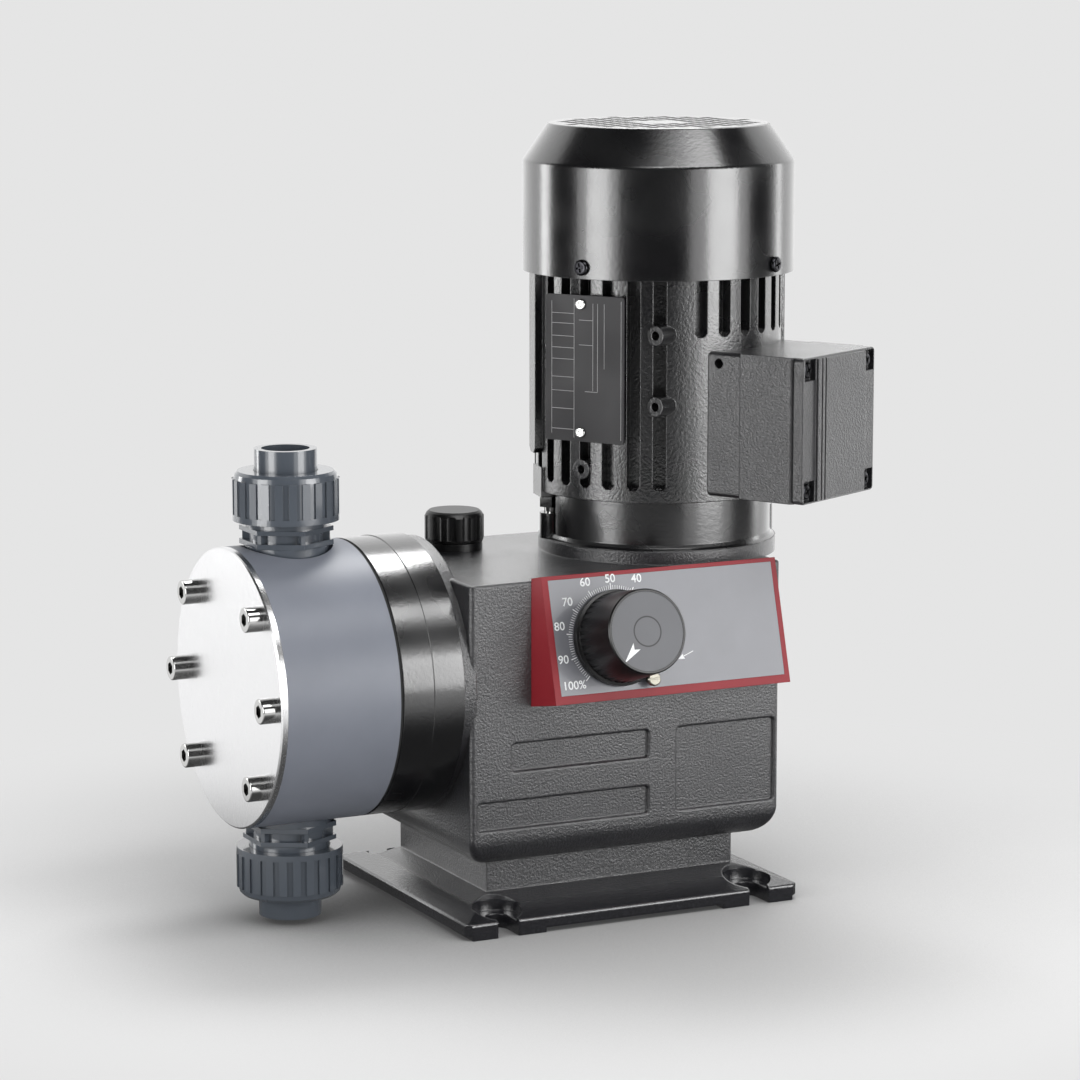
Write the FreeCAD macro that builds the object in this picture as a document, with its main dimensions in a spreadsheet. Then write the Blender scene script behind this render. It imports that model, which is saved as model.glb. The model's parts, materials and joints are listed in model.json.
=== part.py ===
import FreeCAD, Part
import math
import os

import Sketcher
from FreeCAD import Placement, Rotation, Vector

os.makedirs("parts", exist_ok=True)
doc = FreeCAD.newDocument("metering_pump")

# Driving dimensions in millimetres and degrees. X runs from the dosing head to the far end,
# -Y faces the control panel, Z is up and the underside of the foot is at zero.
SIZES = {
    # Foot and pedestal
    "plate_half_length": 97.8,
    "plate_half_width": 83.9,
    "plate_corner": 3.0,
    "plate_underside": 2.5,
    "plate_edge_top": 8.5,
    "plate_rim_radius": 1.5,
    "plate_root_top": 16.8,
    "pad_length": 42.0,
    "pad_width": 25.0,
    "pad_inset": 3.5,
    "slot_half_spacing": 74.0,
    "slot_centre_y": 69.5,
    "slot_width": 12.0,
    "slot_seat_radius": 13.0,
    "slot_seat_height": 7.5,
    "pedestal_half_length": 72.7,
    "pedestal_half_width": 54.5,
    # Gear housing
    "housing_head_side": -89.0,
    "housing_far_side": 92.5,
    "housing_half_width": 70.6,
    "housing_bottom": 33.5,
    "housing_top": 182.4,
    "housing_wall": 8.0,
    "housing_floor": 46.0,
    "housing_belly_radius": 15.0,
    "housing_corner_radius": 2.5,
    "housing_top_radius": 1.5,
    "panel_recess_depth": 2.2,
    "recess_corner_radius": 2.0,
    "recess_rim_radius": 1.2,
    "recess_left": -65.5,
    "low_recess_left": -85.0,
    "recess_right": 14.0,
    "high_recess_bottom": 83.5,
    "high_recess_top": 98.0,
    "low_recess_bottom": 53.4,
    "low_recess_top": 68.0,
    "square_left": 31.0,
    "square_right": 89.5,
    "square_bottom": 53.0,
    "square_top": 97.7,
    "neck_radius": 71.6,
    "neck_bore_radius": 42.0,
    # Dosing head and its ring, along X
    "head_axis_height": 126.4,
    "head_radius": 72.9,
    "ring_back": -93.5,
    "ring_length": 33.7,
    "ring_web": 20.0,
    "ring_web_bore_radius": 12.0,
    "ring_recess_radius": 45.0,
    "ring_step": 0.35,
    "diaphragm_rim": 1.8,
    "diaphragm_rim_inset": 0.6,
    "head_length": 61.7,
    "disc_thickness": 3.6,
    "disc_edge": 0.8,
    "chamber_depth": 8.0,
    "chamber_radius": 43.0,
    "channel_radius": 7.0,
    "channel_offset": 22.0,
    "bolt_circle_radius": 61.7,
    "bolt_radius": 4.0,
    "bolt_head_radius": 6.5,
    "bolt_head_height": 8.0,
    "bolt_socket_flats": 6.0,
    "bolt_socket_depth": 4.5,
    "bolt_thread_depth": 8.0,
    "hole_clearance": 0.3,
    # Valves and unions, on a vertical axis through the dosing head
    "valve_x": -160.7,
    "valve_face": 68.1,
    "valve_seat_radius": 24.0,
    "valve_thread_radius": 13.0,
    "valve_thread_length": 14.0,
    "valve_collar_radius": 22.0,
    "valve_collar_height": 5.0,
    "hexagon_flats": 42.5,
    "hexagon_low_height": 2.7,
    "hexagon_gap": 4.6,
    "hexagon_high_height": 2.4,
    "valve_core_radius": 19.0,
    "union_thread_radius": 20.95,
    "union_thread_length": 18.8,
    "nut_radius": 27.8,
    "nut_rib_depth": 0.9,
    "nut_height": 25.5,
    "nut_rim_height": 3.3,
    "nut_shoulder": 4.0,
    "nut_lip": 3.2,
    "nut_clearance": 0.3,
    "nut_rib_width": 4.2,
    "nut_gap": 3.3,
    "socket_radius": 16.35,
    "socket_bore_radius": 12.5,
    "socket_bore_length": 18.5,
    "socket_rise": 11.4,
    "socket_flange_radius": 20.4,
    "socket_flange_height": 5.0,
    "passage_radius": 8.0,
    "o_ring_section": 1.4,
    "o_ring_radius": 14.0,
    "ball_radius": 8.0,
    "ball_bore_radius": 9.4,
    "ball_lift": 3.0,
    "seat_height": 5.0,
    "seat_bore_radius": 5.5,
    "seat_cone": 2.0,
    "seat_clearance": 0.45,
    # Vent and oil filler
    "vent_x": -46.0,
    "vent_y": 41.0,
    "vent_base_radius": 15.2,
    "vent_base_height": 4.0,
    "vent_cap_radius": 16.0,
    "vent_cap_height": 16.6,
    "vent_stem_radius": 9.0,
    "vent_stem_length": 14.0,
    "vent_gap": 0.4,
    "vent_flute_radius": 5.0,
    # Control panel, its frame is tilted back and centred on the stroke knob
    "knob_x": -12.0,
    "knob_y": -84.0,
    "knob_height": 151.5,
    "panel_tilt": 15.6,
    "scale_left": -35.5,
    "scale_right": 95.7,
    "scale_low": -27.2,
    "scale_high": 32.7,
    "scale_thickness": 1.2,
    "frame_border": 3.6,
    "frame_flare": 3.5,
    "frame_back_low": 117.0,
    "frame_back_high": 184.0,
    "knob_gap": 0.5,
    "knob_skirt_radius": 25.0,
    "knob_skirt_height": 3.6,
    "knob_grip_radius": 23.6,
    "knob_face_radius": 22.0,
    "knob_height_over_panel": 35.3,
    "knob_face_recess": 1.2,
    "knob_face_border": 1.6,
    "knob_hub_radius": 12.0,
    "knob_hub_bore_radius": 13.0,
    "knob_flutes": 40,
    "knob_flute_radius": 1.0,
    "knob_turn": 270.0,
    "spindle_radius": 5.0,
    "lock_screw_x": 15.7,
    "lock_screw_y": -23.0,
    "lock_screw_head_radius": 3.6,
    "lock_screw_head_height": 2.4,
    "lock_screw_radius": 2.0,
    "lock_screw_length": 12.0,
    "lock_screw_slot": 0.8,
    "bush_radius": 8.0,
    "running_fit": 0.05,
    # Stroke drive
    "stroke": 8.0,
    "rod_radius": 8.0,
    "rod_front": -122.5,
    "spring_plate_radius": 27.0,
    "spring_plate_back": -25.3,
    "spring_plate_thickness": 5.7,
    "fork_back": 2.7,
    "fork_length": 16.7,
    "fork_root": 6.0,
    "fork_half_height": 7.0,
    "fork_inner": 8.0,
    "fork_outer": 15.0,
    "spring_radius": 19.5,
    "spring_wire": 4.2,
    "spring_end_gap": 0.3,
    "spring_turns": 5,
    "cam_low_radius": 5.0,
    "cam_axis_offset": 18.0,
    "cam_thickness": 8.0,
    "core_radius": 29.0,
    "membrane_front": -135.0,
    "membrane_thickness": 4.0,
    "membrane_sweep": 3.5,
    "membrane_inner_radius": 30.0,
    "eccentric_x": 22.0,
    "eccentric_radius": 15.0,
    "eccentric_clearance": 0.3,
    "shaft_radius": 10.0,
    "shaft_end_radius": 7.5,
    "shaft_half_length": 61.0,
    "bearing_radius": 17.5,
    "bearing_width": 11.0,
    "bearing_boss_wall": 5.0,
    "cover_bore_radius": 33.0,
    "cover_flange_radius": 42.0,
    "cover_flange_thickness": 8.0,
    "cover_bolt_circle_radius": 37.5,
    "cover_bolt_radius": 3.0,
    "cover_bolt_head_radius": 5.0,
    "cover_bolt_head_height": 6.0,
    "gear_module": 2.0,
    "wheel_teeth": 25,
    "wheel_half_width": 4.5,
    "worm_pitch_radius": 8.7,
    "worm_length": 34.0,
    "gear_backlash": 0.7,
    "gear_relief": 0.3,
    "tip_clearance": 0.5,
    "worm_bearing_radius": 13.0,
    "worm_bearing_width": 8.0,
    "worm_bearing_bottom": 58.0,
    # Motor, on a vertical axis
    "motor_x": 55.7,
    "pad_radius": 64.1,
    "pad_top": 189.6,
    "pad_fillet": 3.0,
    "flange_radius": 61.0,
    "flange_top": 215.5,
    "flange_skirt": 3.0,
    "flange_spigot_radius": 40.0,
    "flange_spigot_length": 9.0,
    "flange_wall": 9.0,
    "scallop_radius": 11.5,
    "scallop_centre": 60.0,
    "scallop_floor": 192.6,
    "lug_angle": 169.0,
    "lug_radius": 58.5,
    "lug_half_width": 8.2,
    "lug_root": 55.5,
    "lug_reach": 67.0,
    "lug_drop": 3.0,
    "lug_height": 16.2,
    "post_radius": 7.0,
    "post_height": 13.7,
    "motor_bolt_radius": 4.0,
    "motor_bolt_sink": 10.0,
    "motor_nut_flats": 13.0,
    "motor_nut_height": 6.0,
    "stator_radius": 66.0,
    "stator_bore_radius": 54.0,
    "stator_length": 120.5,
    "fin_slot_floor": 58.5,
    "fin_slot_width": 7.0,
    "fin_slot_rise": 6.5,
    "fin_slot_bevel": 2.0,
    "fin_slot_pitch": 12.0,
    "fin_slots": 22,
    "fin_first_angle": -117.0,
    "short_slot_length": 33.7,
    "short_slots": 7,
    "short_first_angle": -98.0,
    "lug_rib_gap": 7.3,
    "lug_rib_half_width": 5.6,
    "lug_rib_reach": 69.8,
    "boss_radius": 5.2,
    "boss_hole_radius": 2.3,
    "boss_hole_depth": 6.0,
    "boss_length": 11.0,
    "boss_angle": -157.0,
    "boss_reach": 55.9,
    "boss_offset": 43.6,
    "boss_high_drop": 31.8,
    "boss_low_drop": 68.9,
    "foot_boss_rise": 16.2,
    "foot_boss_angle": -154.3,
    "foot_boss_reach": 67.5,
    "cowl_radius": 72.5,
    "cowl_thickness": 2.0,
    "cowl_lap": 3.4,
    "cowl_length": 58.4,
    "cowl_cone_height": 19.6,
    "cowl_top_radius": 59.0,
    "cowl_shoulder_radius": 3.0,
    "cowl_crown_radius": 1.2,
    "grille_hole": 6.4,
    "grille_pitch": 8.6,
    "grille_inner_radius": 17.0,
    "grille_outer_radius": 52.0,
    "cowl_screw_rise": 2.7,
    "cowl_screw_angle": -151.0,
    "cowl_screw_head_radius": 4.2,
    "cowl_screw_head_height": 2.6,
    "cowl_screw_radius": 2.5,
    "end_shield_spigot": 7.0,
    "end_shield_thickness": 5.0,
    "end_shield_radius": 70.4,
    "rotor_radius": 34.0,
    "rotor_rise": 18.5,
    "rotor_drop": 26.0,
    "air_gap": 0.4,
    "rotor_shaft_radius": 7.5,
    "rotor_core_shaft_radius": 10.0,
    "worm_shaft_radius": 5.0,
    "drive_bearing_bottom": 197.0,
    "fan_radius": 58.0,
    "fan_gap": 9.0,
    "fan_hub_length": 18.0,
    "fan_height": 24.0,
    "fan_hub_radius": 14.0,
    "fan_blade": 2.0,
    "fan_blades": 8,
    "nameplate_angle": -147.0,
    "nameplate_distance": 69.0,
    "nameplate_width": 47.0,
    "nameplate_drop": 12.0,
    "nameplate_height": 77.0,
    "nameplate_thickness": 1.0,
    "nameplate_offset": -7.0,
    "nameplate_screw_inset": 4.8,
    "nameplate_screw_radius": 2.9,
    # Terminal box, square to a direction that leaves the motor's axis
    "box_angle": -62.2,
    "box_half_width": 35.3,
    "box_rise": 3.5,
    "box_height": 76.2,
    "box_root": 50.0,
    "box_seam": 75.5,
    "box_rim": 108.5,
    "box_wall": 4.0,
    "box_corner": 2.5,
    "box_rim_radius": 3.0,
    "lid_thickness": 6.0,
    "lid_edge_radius": 1.0,
    "lid_panel_left": 12.4,
    "lid_panel_right": 10.6,
    "lid_panel_rise": 1.5,
    "lid_groove_inset": 3.0,
    "lid_groove_pitch": 3.4,
    "lid_groove_width": 1.3,
    "lid_groove_depth": 0.9,
    "lid_pocket_width": 10.4,
    "lid_pocket_height": 11.0,
    "lid_pocket_depth": 3.5,
    "lid_screw_inset": 6.5,
    "lid_screw_head_radius": 4.0,
    "lid_screw_head_height": 2.6,
    "lid_screw_radius": 2.5,
    "lid_post_radius": 5.0,
    "cable_entry_radius": 10.0,
    "cable_entry_x": 92.0,
    "wire_hole_radius": 12.0,
    "earth_hole_x": 62.4,
    "earth_hole_drop": 6.0,
    "earth_hole_radius": 2.5,
    "earth_hole_depth": 8.0,
    "board_thickness": 10.0,
    "board_half_width": 22.0,
    "board_half_height": 22.0,
    "stud_radius": 2.5,
    "stud_height": 8.0,
    # Oil drain
    "drain_y": 0.0,
    "drain_height": 58.0,
    "drain_boss_radius": 13.0,
    "drain_boss_height": 2.0,
    "drain_thread_radius": 7.0,
    "drain_hexagon": 17.0,
    "drain_head_height": 6.0,
}


class Size:
    """A number that also carries the sheet formula it comes from."""

    def __init__(self, value, formula):
        self.value = float(value)
        self.formula = formula

    def __add__(self, other):
        return Size(self.value + number(other), f"({self.formula} + {wording(other)})")

    def __radd__(self, other):
        return Size(number(other) + self.value, f"({wording(other)} + {self.formula})")

    def __sub__(self, other):
        return Size(self.value - number(other), f"({self.formula} - {wording(other)})")

    def __rsub__(self, other):
        return Size(number(other) - self.value, f"({wording(other)} - {self.formula})")

    def __mul__(self, other):
        return Size(self.value * number(other), f"({self.formula} * {wording(other)})")

    __rmul__ = __mul__

    def __truediv__(self, other):
        return Size(self.value / number(other), f"({self.formula} / {wording(other)})")

    def __neg__(self):
        return Size(-self.value, f"(-1 * {self.formula})")


class Sheet:
    """The driving dimensions, each read as an attribute by its name."""

    def __getattr__(self, name):
        return Size(SIZES[name], f"sizes.{name}")


def number(size):
    """The plain value of a size or a number."""
    return size.value if isinstance(size, Size) else float(size)


def wording(size):
    """The formula of a size or a number."""
    return size.formula if isinstance(size, Size) else f"({float(size)!r})"


def sine(angle):
    """The sine of an angle in degrees, as a size where the angle is one."""
    if isinstance(angle, Size):
        return Size(math.sin(math.radians(angle.value)), f"sin({angle.formula} * 1 deg)")
    return math.sin(math.radians(angle))


def cosine(angle):
    """The cosine of an angle in degrees, as a size where the angle is one."""
    if isinstance(angle, Size):
        return Size(math.cos(math.radians(angle.value)), f"cos({angle.formula} * 1 deg)")
    return math.cos(math.radians(angle))


def bind(thing, path, size):
    """Drive one property of an object by the sheet, or set it where it is a plain number."""
    if isinstance(size, Size):
        thing.setExpression(path, size.formula)
    else:
        thing.setExpression(path, wording(size))


sheet = doc.addObject("Spreadsheet::Sheet", "sizes")
for row, (alias, amount) in enumerate(SIZES.items(), start=1):
    sheet.set(f"A{row}", alias)
    sheet.set(f"B{row}", str(amount))
    sheet.setAlias(f"B{row}", alias)
doc.recompute()
d = Sheet()

X_AXIS = Vector(1, 0, 0)
Y_AXIS = Vector(0, 1, 0)
Z_AXIS = Vector(0, 0, 1)
UPRIGHT = (Z_AXIS, 0)
ALONG_X = (Y_AXIS, 90)
ALONG_Y = (X_AXIS, -90)
pieces = []


class Piece:
    """One sub-part as a PartDesign body, built feature by feature in its own frame."""

    def __init__(self, label, at=(0, 0, 0), turn=UPRIGHT, kept=True):
        self.body = doc.addObject("PartDesign::Body", label)
        self.body.Label = label
        axis, angle = turn
        self.body.Placement = Placement(Vector(*[number(a) for a in at]), Rotation(axis, number(angle)))
        for letter, size in zip("xyz", at):
            bind(self.body, f"Placement.Base.{letter}", size)
        if isinstance(angle, Size):
            bind(self.body, "Placement.Rotation.Angle", angle)
        self.made = 0
        if kept:
            pieces.append(self.body)

    def origin_feature(self, role):
        """The body's own base plane or axis of that role."""
        return next(f for f in self.body.Origin.OriginFeatures if f.Role == role)

    def sketch(self, plane, lift=0, tilt=None):
        """An empty sketch on a base plane, lifted along its normal and tilted about its X axis."""
        self.made += 1
        flat = self.body.newObject("Sketcher::SketchObject", f"{self.body.Label}_sketch_{self.made}")
        flat.AttachmentSupport = (self.origin_feature(plane), [""])
        flat.MapMode = "FlatFace"
        if tilt is not None:
            flat.AttachmentOffset = Placement(Vector(), Rotation(X_AXIS, number(tilt)))
            bind(flat, "AttachmentOffset.Rotation.Angle", tilt)
        bind(flat, "AttachmentOffset.Base.z", lift)
        return flat

    def turn_outwards(self, flat, angle, reach):
        """Stand a sketch of the YZ plane square to a direction about Z, at a reach from the axis."""
        flat.AttachmentOffset = Placement(Vector(), Rotation(Y_AXIS, number(angle)))
        bind(flat, "AttachmentOffset.Rotation.Angle", angle)
        bind(flat, "AttachmentOffset.Base.x", reach * sine(angle))
        bind(flat, "AttachmentOffset.Base.z", reach * cosine(angle))
        return flat

    def place_point(self, flat, edge, end, point):
        """Fix one end of a sketch edge at a point given by two sizes."""
        for kind, size in zip(("DistanceX", "DistanceY"), point):
            index = flat.addConstraint(Sketcher.Constraint(kind, -1, 1, edge, end, number(size)))
            if isinstance(size, Size):
                flat.setExpression(f"Constraints[{index}]", size.formula)

    def polygons(self, plane, outlines, lift=0, tilt=None):
        """A sketch of closed outlines of straight lines."""
        flat = self.sketch(plane, lift, tilt)
        for points in outlines:
            first = flat.GeometryCount
            corners = [Vector(number(a), number(b), 0) for a, b in points]
            count = len(corners)
            for i in range(count):
                flat.addGeometry(Part.LineSegment(corners[i], corners[(i + 1) % count]), False)
            for i in range(count):
                following = first + (i + 1) % count
                flat.addConstraint(Sketcher.Constraint("Coincident", first + i, 2, following, 1))
            for i, point in enumerate(points):
                self.place_point(flat, first + i, 1, point)
        return flat

    def circles(self, plane, centres, radius, lift=0):
        """A sketch of equal circles."""
        flat = self.sketch(plane, lift)
        for centre in centres:
            middle = Vector(number(centre[0]), number(centre[1]), 0)
            edge = flat.addGeometry(Part.Circle(middle, Z_AXIS, number(radius)), False)
            self.place_point(flat, edge, 3, centre)
            index = flat.addConstraint(Sketcher.Constraint("Radius", edge, number(radius)))
            if isinstance(radius, Size):
                flat.setExpression(f"Constraints[{index}]", radius.formula)
        return flat

    def feature(self, kind, flat):
        """A new feature on a sketch, made the body's tip."""
        self.made += 1
        made = self.body.newObject(kind, f"{self.body.Label}_feature_{self.made}")
        made.Profile = flat
        flat.Visibility = False
        return made

    def pad(self, flat, length, backwards=False):
        """Raise a sketch by a length along its normal."""
        made = self.feature("PartDesign::Pad", flat)
        bind(made, "Length", length)
        made.Reversed = backwards
        return made

    def pocket(self, flat, length, backwards=False):
        """Cut a sketch by a length, against its normal unless backwards."""
        made = self.feature("PartDesign::Pocket", flat)
        bind(made, "Length", length)
        made.Reversed = backwards
        return made

    def revolve(self, *outlines):
        """Turn outlines of (radius, height) points about the body's own Z axis."""
        flat = self.polygons("XZ_Plane", outlines)
        made = self.feature("PartDesign::Revolution", flat)
        made.ReferenceAxis = (flat, ["V_Axis"])
        made.Angle = 360
        return made

    def groove(self, *outlines):
        """Cut outlines of (radius, height) points about the body's own Z axis."""
        flat = self.polygons("XZ_Plane", outlines)
        made = self.feature("PartDesign::Groove", flat)
        made.ReferenceAxis = (flat, ["V_Axis"])
        made.Angle = 360
        return made

    def loft(self, low, high):
        """Join two sketches by straight walls."""
        made = self.feature("PartDesign::AdditiveLoft", low)
        made.Sections = [high]
        made.Ruled = True
        return made

    def around(self, features, count, angle=360, backwards=False):
        """Repeat features about the body's Z axis."""
        self.made += 1
        made = self.body.newObject("PartDesign::PolarPattern", f"{self.body.Label}_pattern_{self.made}")
        made.Originals = list(features)
        made.Axis = (self.origin_feature("Z_Axis"), [""])
        bind(made, "Angle", angle)
        bind(made, "Occurrences", count)
        made.Reversed = backwards
        self.body.Tip = made
        return made

    def soften(self, radius, chosen, kind="Fillet"):
        """Round or chamfer the edges of the present shape that a test picks."""
        doc.recompute()
        base = self.body.Tip
        names = [f"Edge{i}" for i, edge in enumerate(base.Shape.Edges, start=1) if chosen(edge)]
        self.made += 1
        made = self.body.newObject(f"PartDesign::{kind}", f"{self.body.Label}_{kind.lower()}_{self.made}")
        made.Base = (base, names)
        bind(made, "Radius" if kind == "Fillet" else "Size", radius)
        self.body.Tip = made
        return made


def rectangle(x_low, x_high, y_low, y_high):
    """The corners of a rectangle."""
    return [(x_low, y_low), (x_high, y_low), (x_high, y_high), (x_low, y_high)]


def hexagon(flats, middle=(0, 0), turn=0):
    """The corners of a regular hexagon of a width across flats."""
    reach = flats / math.sqrt(3)
    corners = []
    for k in range(6):
        angle = turn + 60 * k
        corners.append((middle[0] + reach * cosine(angle), middle[1] + reach * sine(angle)))
    return corners


def ring_profile(inner, outer, low, high):
    """A rectangle of radii and heights."""
    return [(inner, low), (outer, low), (outer, high), (inner, high)]


def is_circle(edge):
    """Whether an edge is a whole circle."""
    return edge.Curve.TypeId == "Part::GeomCircle" and edge.isClosed()


def at_height(edge, height):
    """Whether an edge lies flat at a height of its piece's own frame."""
    box = edge.BoundBox
    return abs(box.ZMin - number(height)) < 0.01 and abs(box.ZMax - number(height)) < 0.01


def of_radius(edge, radius):
    """Whether an edge is a whole circle of that radius."""
    return is_circle(edge) and abs(edge.Curve.Radius - number(radius)) < 0.01


# Places that several pieces share.
ring_front = d.ring_back - d.ring_length
head_back = ring_front - d.diaphragm_rim
head_front = head_back - d.head_length
disc_front = head_front - d.disc_thickness
HEAD_BOLT_ANGLES = (-45, 0, 45, 135, 180, 225)
head_centre = (0, 0, d.head_axis_height)
eccentric_throw = d.stroke / 2
shaft_centre = (d.eccentric_x, 0, d.head_axis_height)
motor_centre = (d.motor_x, 0, 0)
control_centre = (d.knob_x, d.knob_y, d.knob_height)
control_turn = (X_AXIS, 90 - d.panel_tilt)
rod_distance = -d.knob_y / cosine(d.panel_tilt)
box_turn = (Z_AXIS, d.box_angle)
lug_bottom = d.flange_top - d.lug_drop
lug_top = lug_bottom + d.lug_height
post_top = d.pad_top + d.post_height
stator_top = d.flange_top + d.stator_length
end_shield_top = stator_top + d.end_shield_thickness
cowl_bottom = stator_top - d.cowl_lap
cowl_shoulder = cowl_bottom + d.cowl_length
cowl_top = cowl_shoulder + d.cowl_cone_height
cowl_screw_height = stator_top + d.cowl_screw_rise
rotor_bottom = d.flange_top + d.rotor_rise
rotor_top = stator_top - d.rotor_drop
fan_bottom = end_shield_top + d.fan_gap
shaft_top = fan_bottom + d.fan_hub_length
nameplate_top = stator_top - d.nameplate_drop
nameplate_bottom = nameplate_top - d.nameplate_height
box_bottom = d.flange_top + d.box_rise
box_top = box_bottom + d.box_height


def head_bolt_points():
    """The places of the head bolts, seen along X: the local X axis points down."""
    points = []
    for angle in HEAD_BOLT_ANGLES:
        points.append((d.bolt_circle_radius * sine(angle), d.bolt_circle_radius * cosine(angle)))
    return points


def make_housing():
    """The gear housing, cast in one with its pedestal and slotted foot."""
    piece = Piece("gear_housing")
    long_side, wide_side, corner = d.plate_half_length, d.plate_half_width, d.plate_corner
    edge_outline = [
        (corner - long_side, -wide_side),
        (long_side - corner, -wide_side),
        (long_side, corner - wide_side),
        (long_side, wide_side - corner),
        (long_side - corner, wide_side),
        (corner - long_side, wide_side),
        (-long_side, wide_side - corner),
        (-long_side, corner - wide_side),
    ]
    plate = piece.polygons("XY_Plane", [edge_outline], d.plate_underside)
    piece.pad(plate, d.plate_edge_top - d.plate_underside)
    low = piece.polygons(
        "XY_Plane", [rectangle(-long_side, long_side, -wide_side, wide_side)], d.plate_edge_top
    )
    foot = rectangle(
        -d.pedestal_half_length, d.pedestal_half_length, -d.pedestal_half_width, d.pedestal_half_width
    )
    high = piece.polygons("XY_Plane", [foot], d.plate_root_top)
    piece.loft(low, high)
    # The loft has square corners, so the plate's corner chamfers are cut through it too.
    corners = []
    for sx in (-1, 1):
        for sy in (-1, 1):
            corners.append([
                (sx * (long_side - corner), sy * (wide_side + 1)),
                (sx * (long_side + 1), sy * (wide_side + 1)),
                (sx * (long_side + 1), sy * (wide_side - corner)),
                (sx * long_side, sy * (wide_side - corner)),
                (sx * (long_side - corner), sy * wide_side),
            ])
    piece.pocket(piece.polygons("XY_Plane", corners, d.plate_root_top), d.plate_root_top)

    def plate_rim(edge):
        """The edges between the foot's side and its sloping top."""
        return at_height(edge, d.plate_edge_top)

    piece.soften(d.plate_rim_radius, plate_rim)
    pads = []
    for sx in (-1, 1):
        for sy in (-1, 1):
            near_x = sx * (long_side - d.pad_inset)
            near_y = sy * wide_side
            pads.append(rectangle(near_x - sx * d.pad_length, near_x, near_y - sy * d.pad_width, near_y))
    piece.pad(piece.polygons("XY_Plane", pads), d.plate_underside)
    pedestal = piece.polygons("XY_Plane", [foot], d.plate_edge_top)
    piece.pad(pedestal, d.housing_bottom - d.plate_edge_top + 1)
    seats = [(sx * d.slot_half_spacing, sy * d.slot_centre_y) for sx in (-1, 1) for sy in (-1, 1)]
    piece.pocket(piece.circles("XY_Plane", seats, d.slot_seat_radius, d.slot_seat_height), 20, True)
    piece.pocket(piece.circles("XY_Plane", seats, d.slot_width / 2, 0), 20, True)
    mouths = []
    for sx in (-1, 1):
        for sy in (-1, 1):
            side = sx * d.slot_half_spacing
            mouths.append(
                rectangle(side - d.slot_width / 2, side + d.slot_width / 2, sy * d.slot_centre_y, sy * (wide_side + 1))
            )
    piece.pocket(piece.polygons("XY_Plane", mouths, 0), 20, True)

    shell = rectangle(d.housing_head_side, d.housing_far_side, -d.housing_half_width, d.housing_half_width)
    piece.pad(piece.polygons("XY_Plane", [shell], d.housing_bottom), d.housing_top - d.housing_bottom)

    def belly(edge):
        """The long bottom edges of the housing and the two across its ends."""
        box = edge.BoundBox
        outside = (
            abs(abs(box.Center.y) - number(d.housing_half_width)) < 0.01
            or abs(box.Center.x - number(d.housing_far_side)) < 0.01
            or abs(box.Center.x - number(d.housing_head_side)) < 0.01
        )
        return at_height(edge, d.housing_bottom) and outside and edge.Length > 50

    def upright_corner(edge):
        """The four tall corners of the housing."""
        box = edge.BoundBox
        tall = box.ZLength > 100 and box.XLength < 1 and box.YLength < 1
        return tall and abs(abs(box.Center.y) - number(d.housing_half_width)) < 0.01

    def rim(edge):
        """The edges around the top of the housing."""
        return at_height(edge, d.housing_top)

    piece.soften(d.housing_corner_radius, upright_corner)
    piece.soften(d.housing_belly_radius, belly)
    piece.soften(d.housing_top_radius, rim)

    # Motor pad and head neck stand on the shell.
    pad_floor = d.housing_top - 1
    piece.pad(piece.circles("XY_Plane", [(d.motor_x, 0)], d.pad_radius, pad_floor), d.pad_top - pad_floor)
    neck = piece.circles("YZ_Plane", [(0, d.head_axis_height)], d.neck_radius, d.ring_back)
    piece.pad(neck, d.housing_head_side - d.ring_back + 3)
    drain = piece.circles(
        "YZ_Plane", [(d.drain_y, d.drain_height)], d.drain_boss_radius, d.housing_far_side - 1
    )
    piece.pad(drain, d.drain_boss_height + 1)

    recesses = [
        rectangle(d.recess_left, d.recess_right, d.high_recess_bottom, d.high_recess_top),
        rectangle(d.low_recess_left, d.recess_right, d.low_recess_bottom, d.low_recess_top),
        rectangle(d.square_left, d.square_right, d.square_bottom, d.square_top),
    ]
    piece.pocket(piece.polygons("XZ_Plane", recesses, d.housing_half_width), d.panel_recess_depth)

    def in_front(edge):
        """Whether an edge lies on the recessed part of the front, clear of the housing's own edges."""
        box = edge.BoundBox
        low, high = number(d.square_bottom), number(d.high_recess_top)
        low = min(low, number(d.low_recess_bottom))
        sides = box.XMin > number(d.low_recess_left) - 0.1 and box.XMax < number(d.square_right) + 0.1
        return sides and box.ZMin > low - 0.1 and box.ZMax < high + 0.1 and box.YMax < 1 - number(d.housing_half_width) + number(
            d.panel_recess_depth
        )

    def recess_corner(edge):
        """The short edges at the corners of the recesses, which run into the wall."""
        box = edge.BoundBox
        return in_front(edge) and box.YLength > 1 and box.XLength < 0.01 and box.ZLength < 0.01

    def recess_rim(edge):
        """The edges of the recesses on the front face."""
        return in_front(edge) and edge.BoundBox.YMax < 0.01 - number(d.housing_half_width)

    piece.soften(d.recess_corner_radius, recess_corner)
    piece.soften(d.recess_rim_radius, recess_rim)

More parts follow.
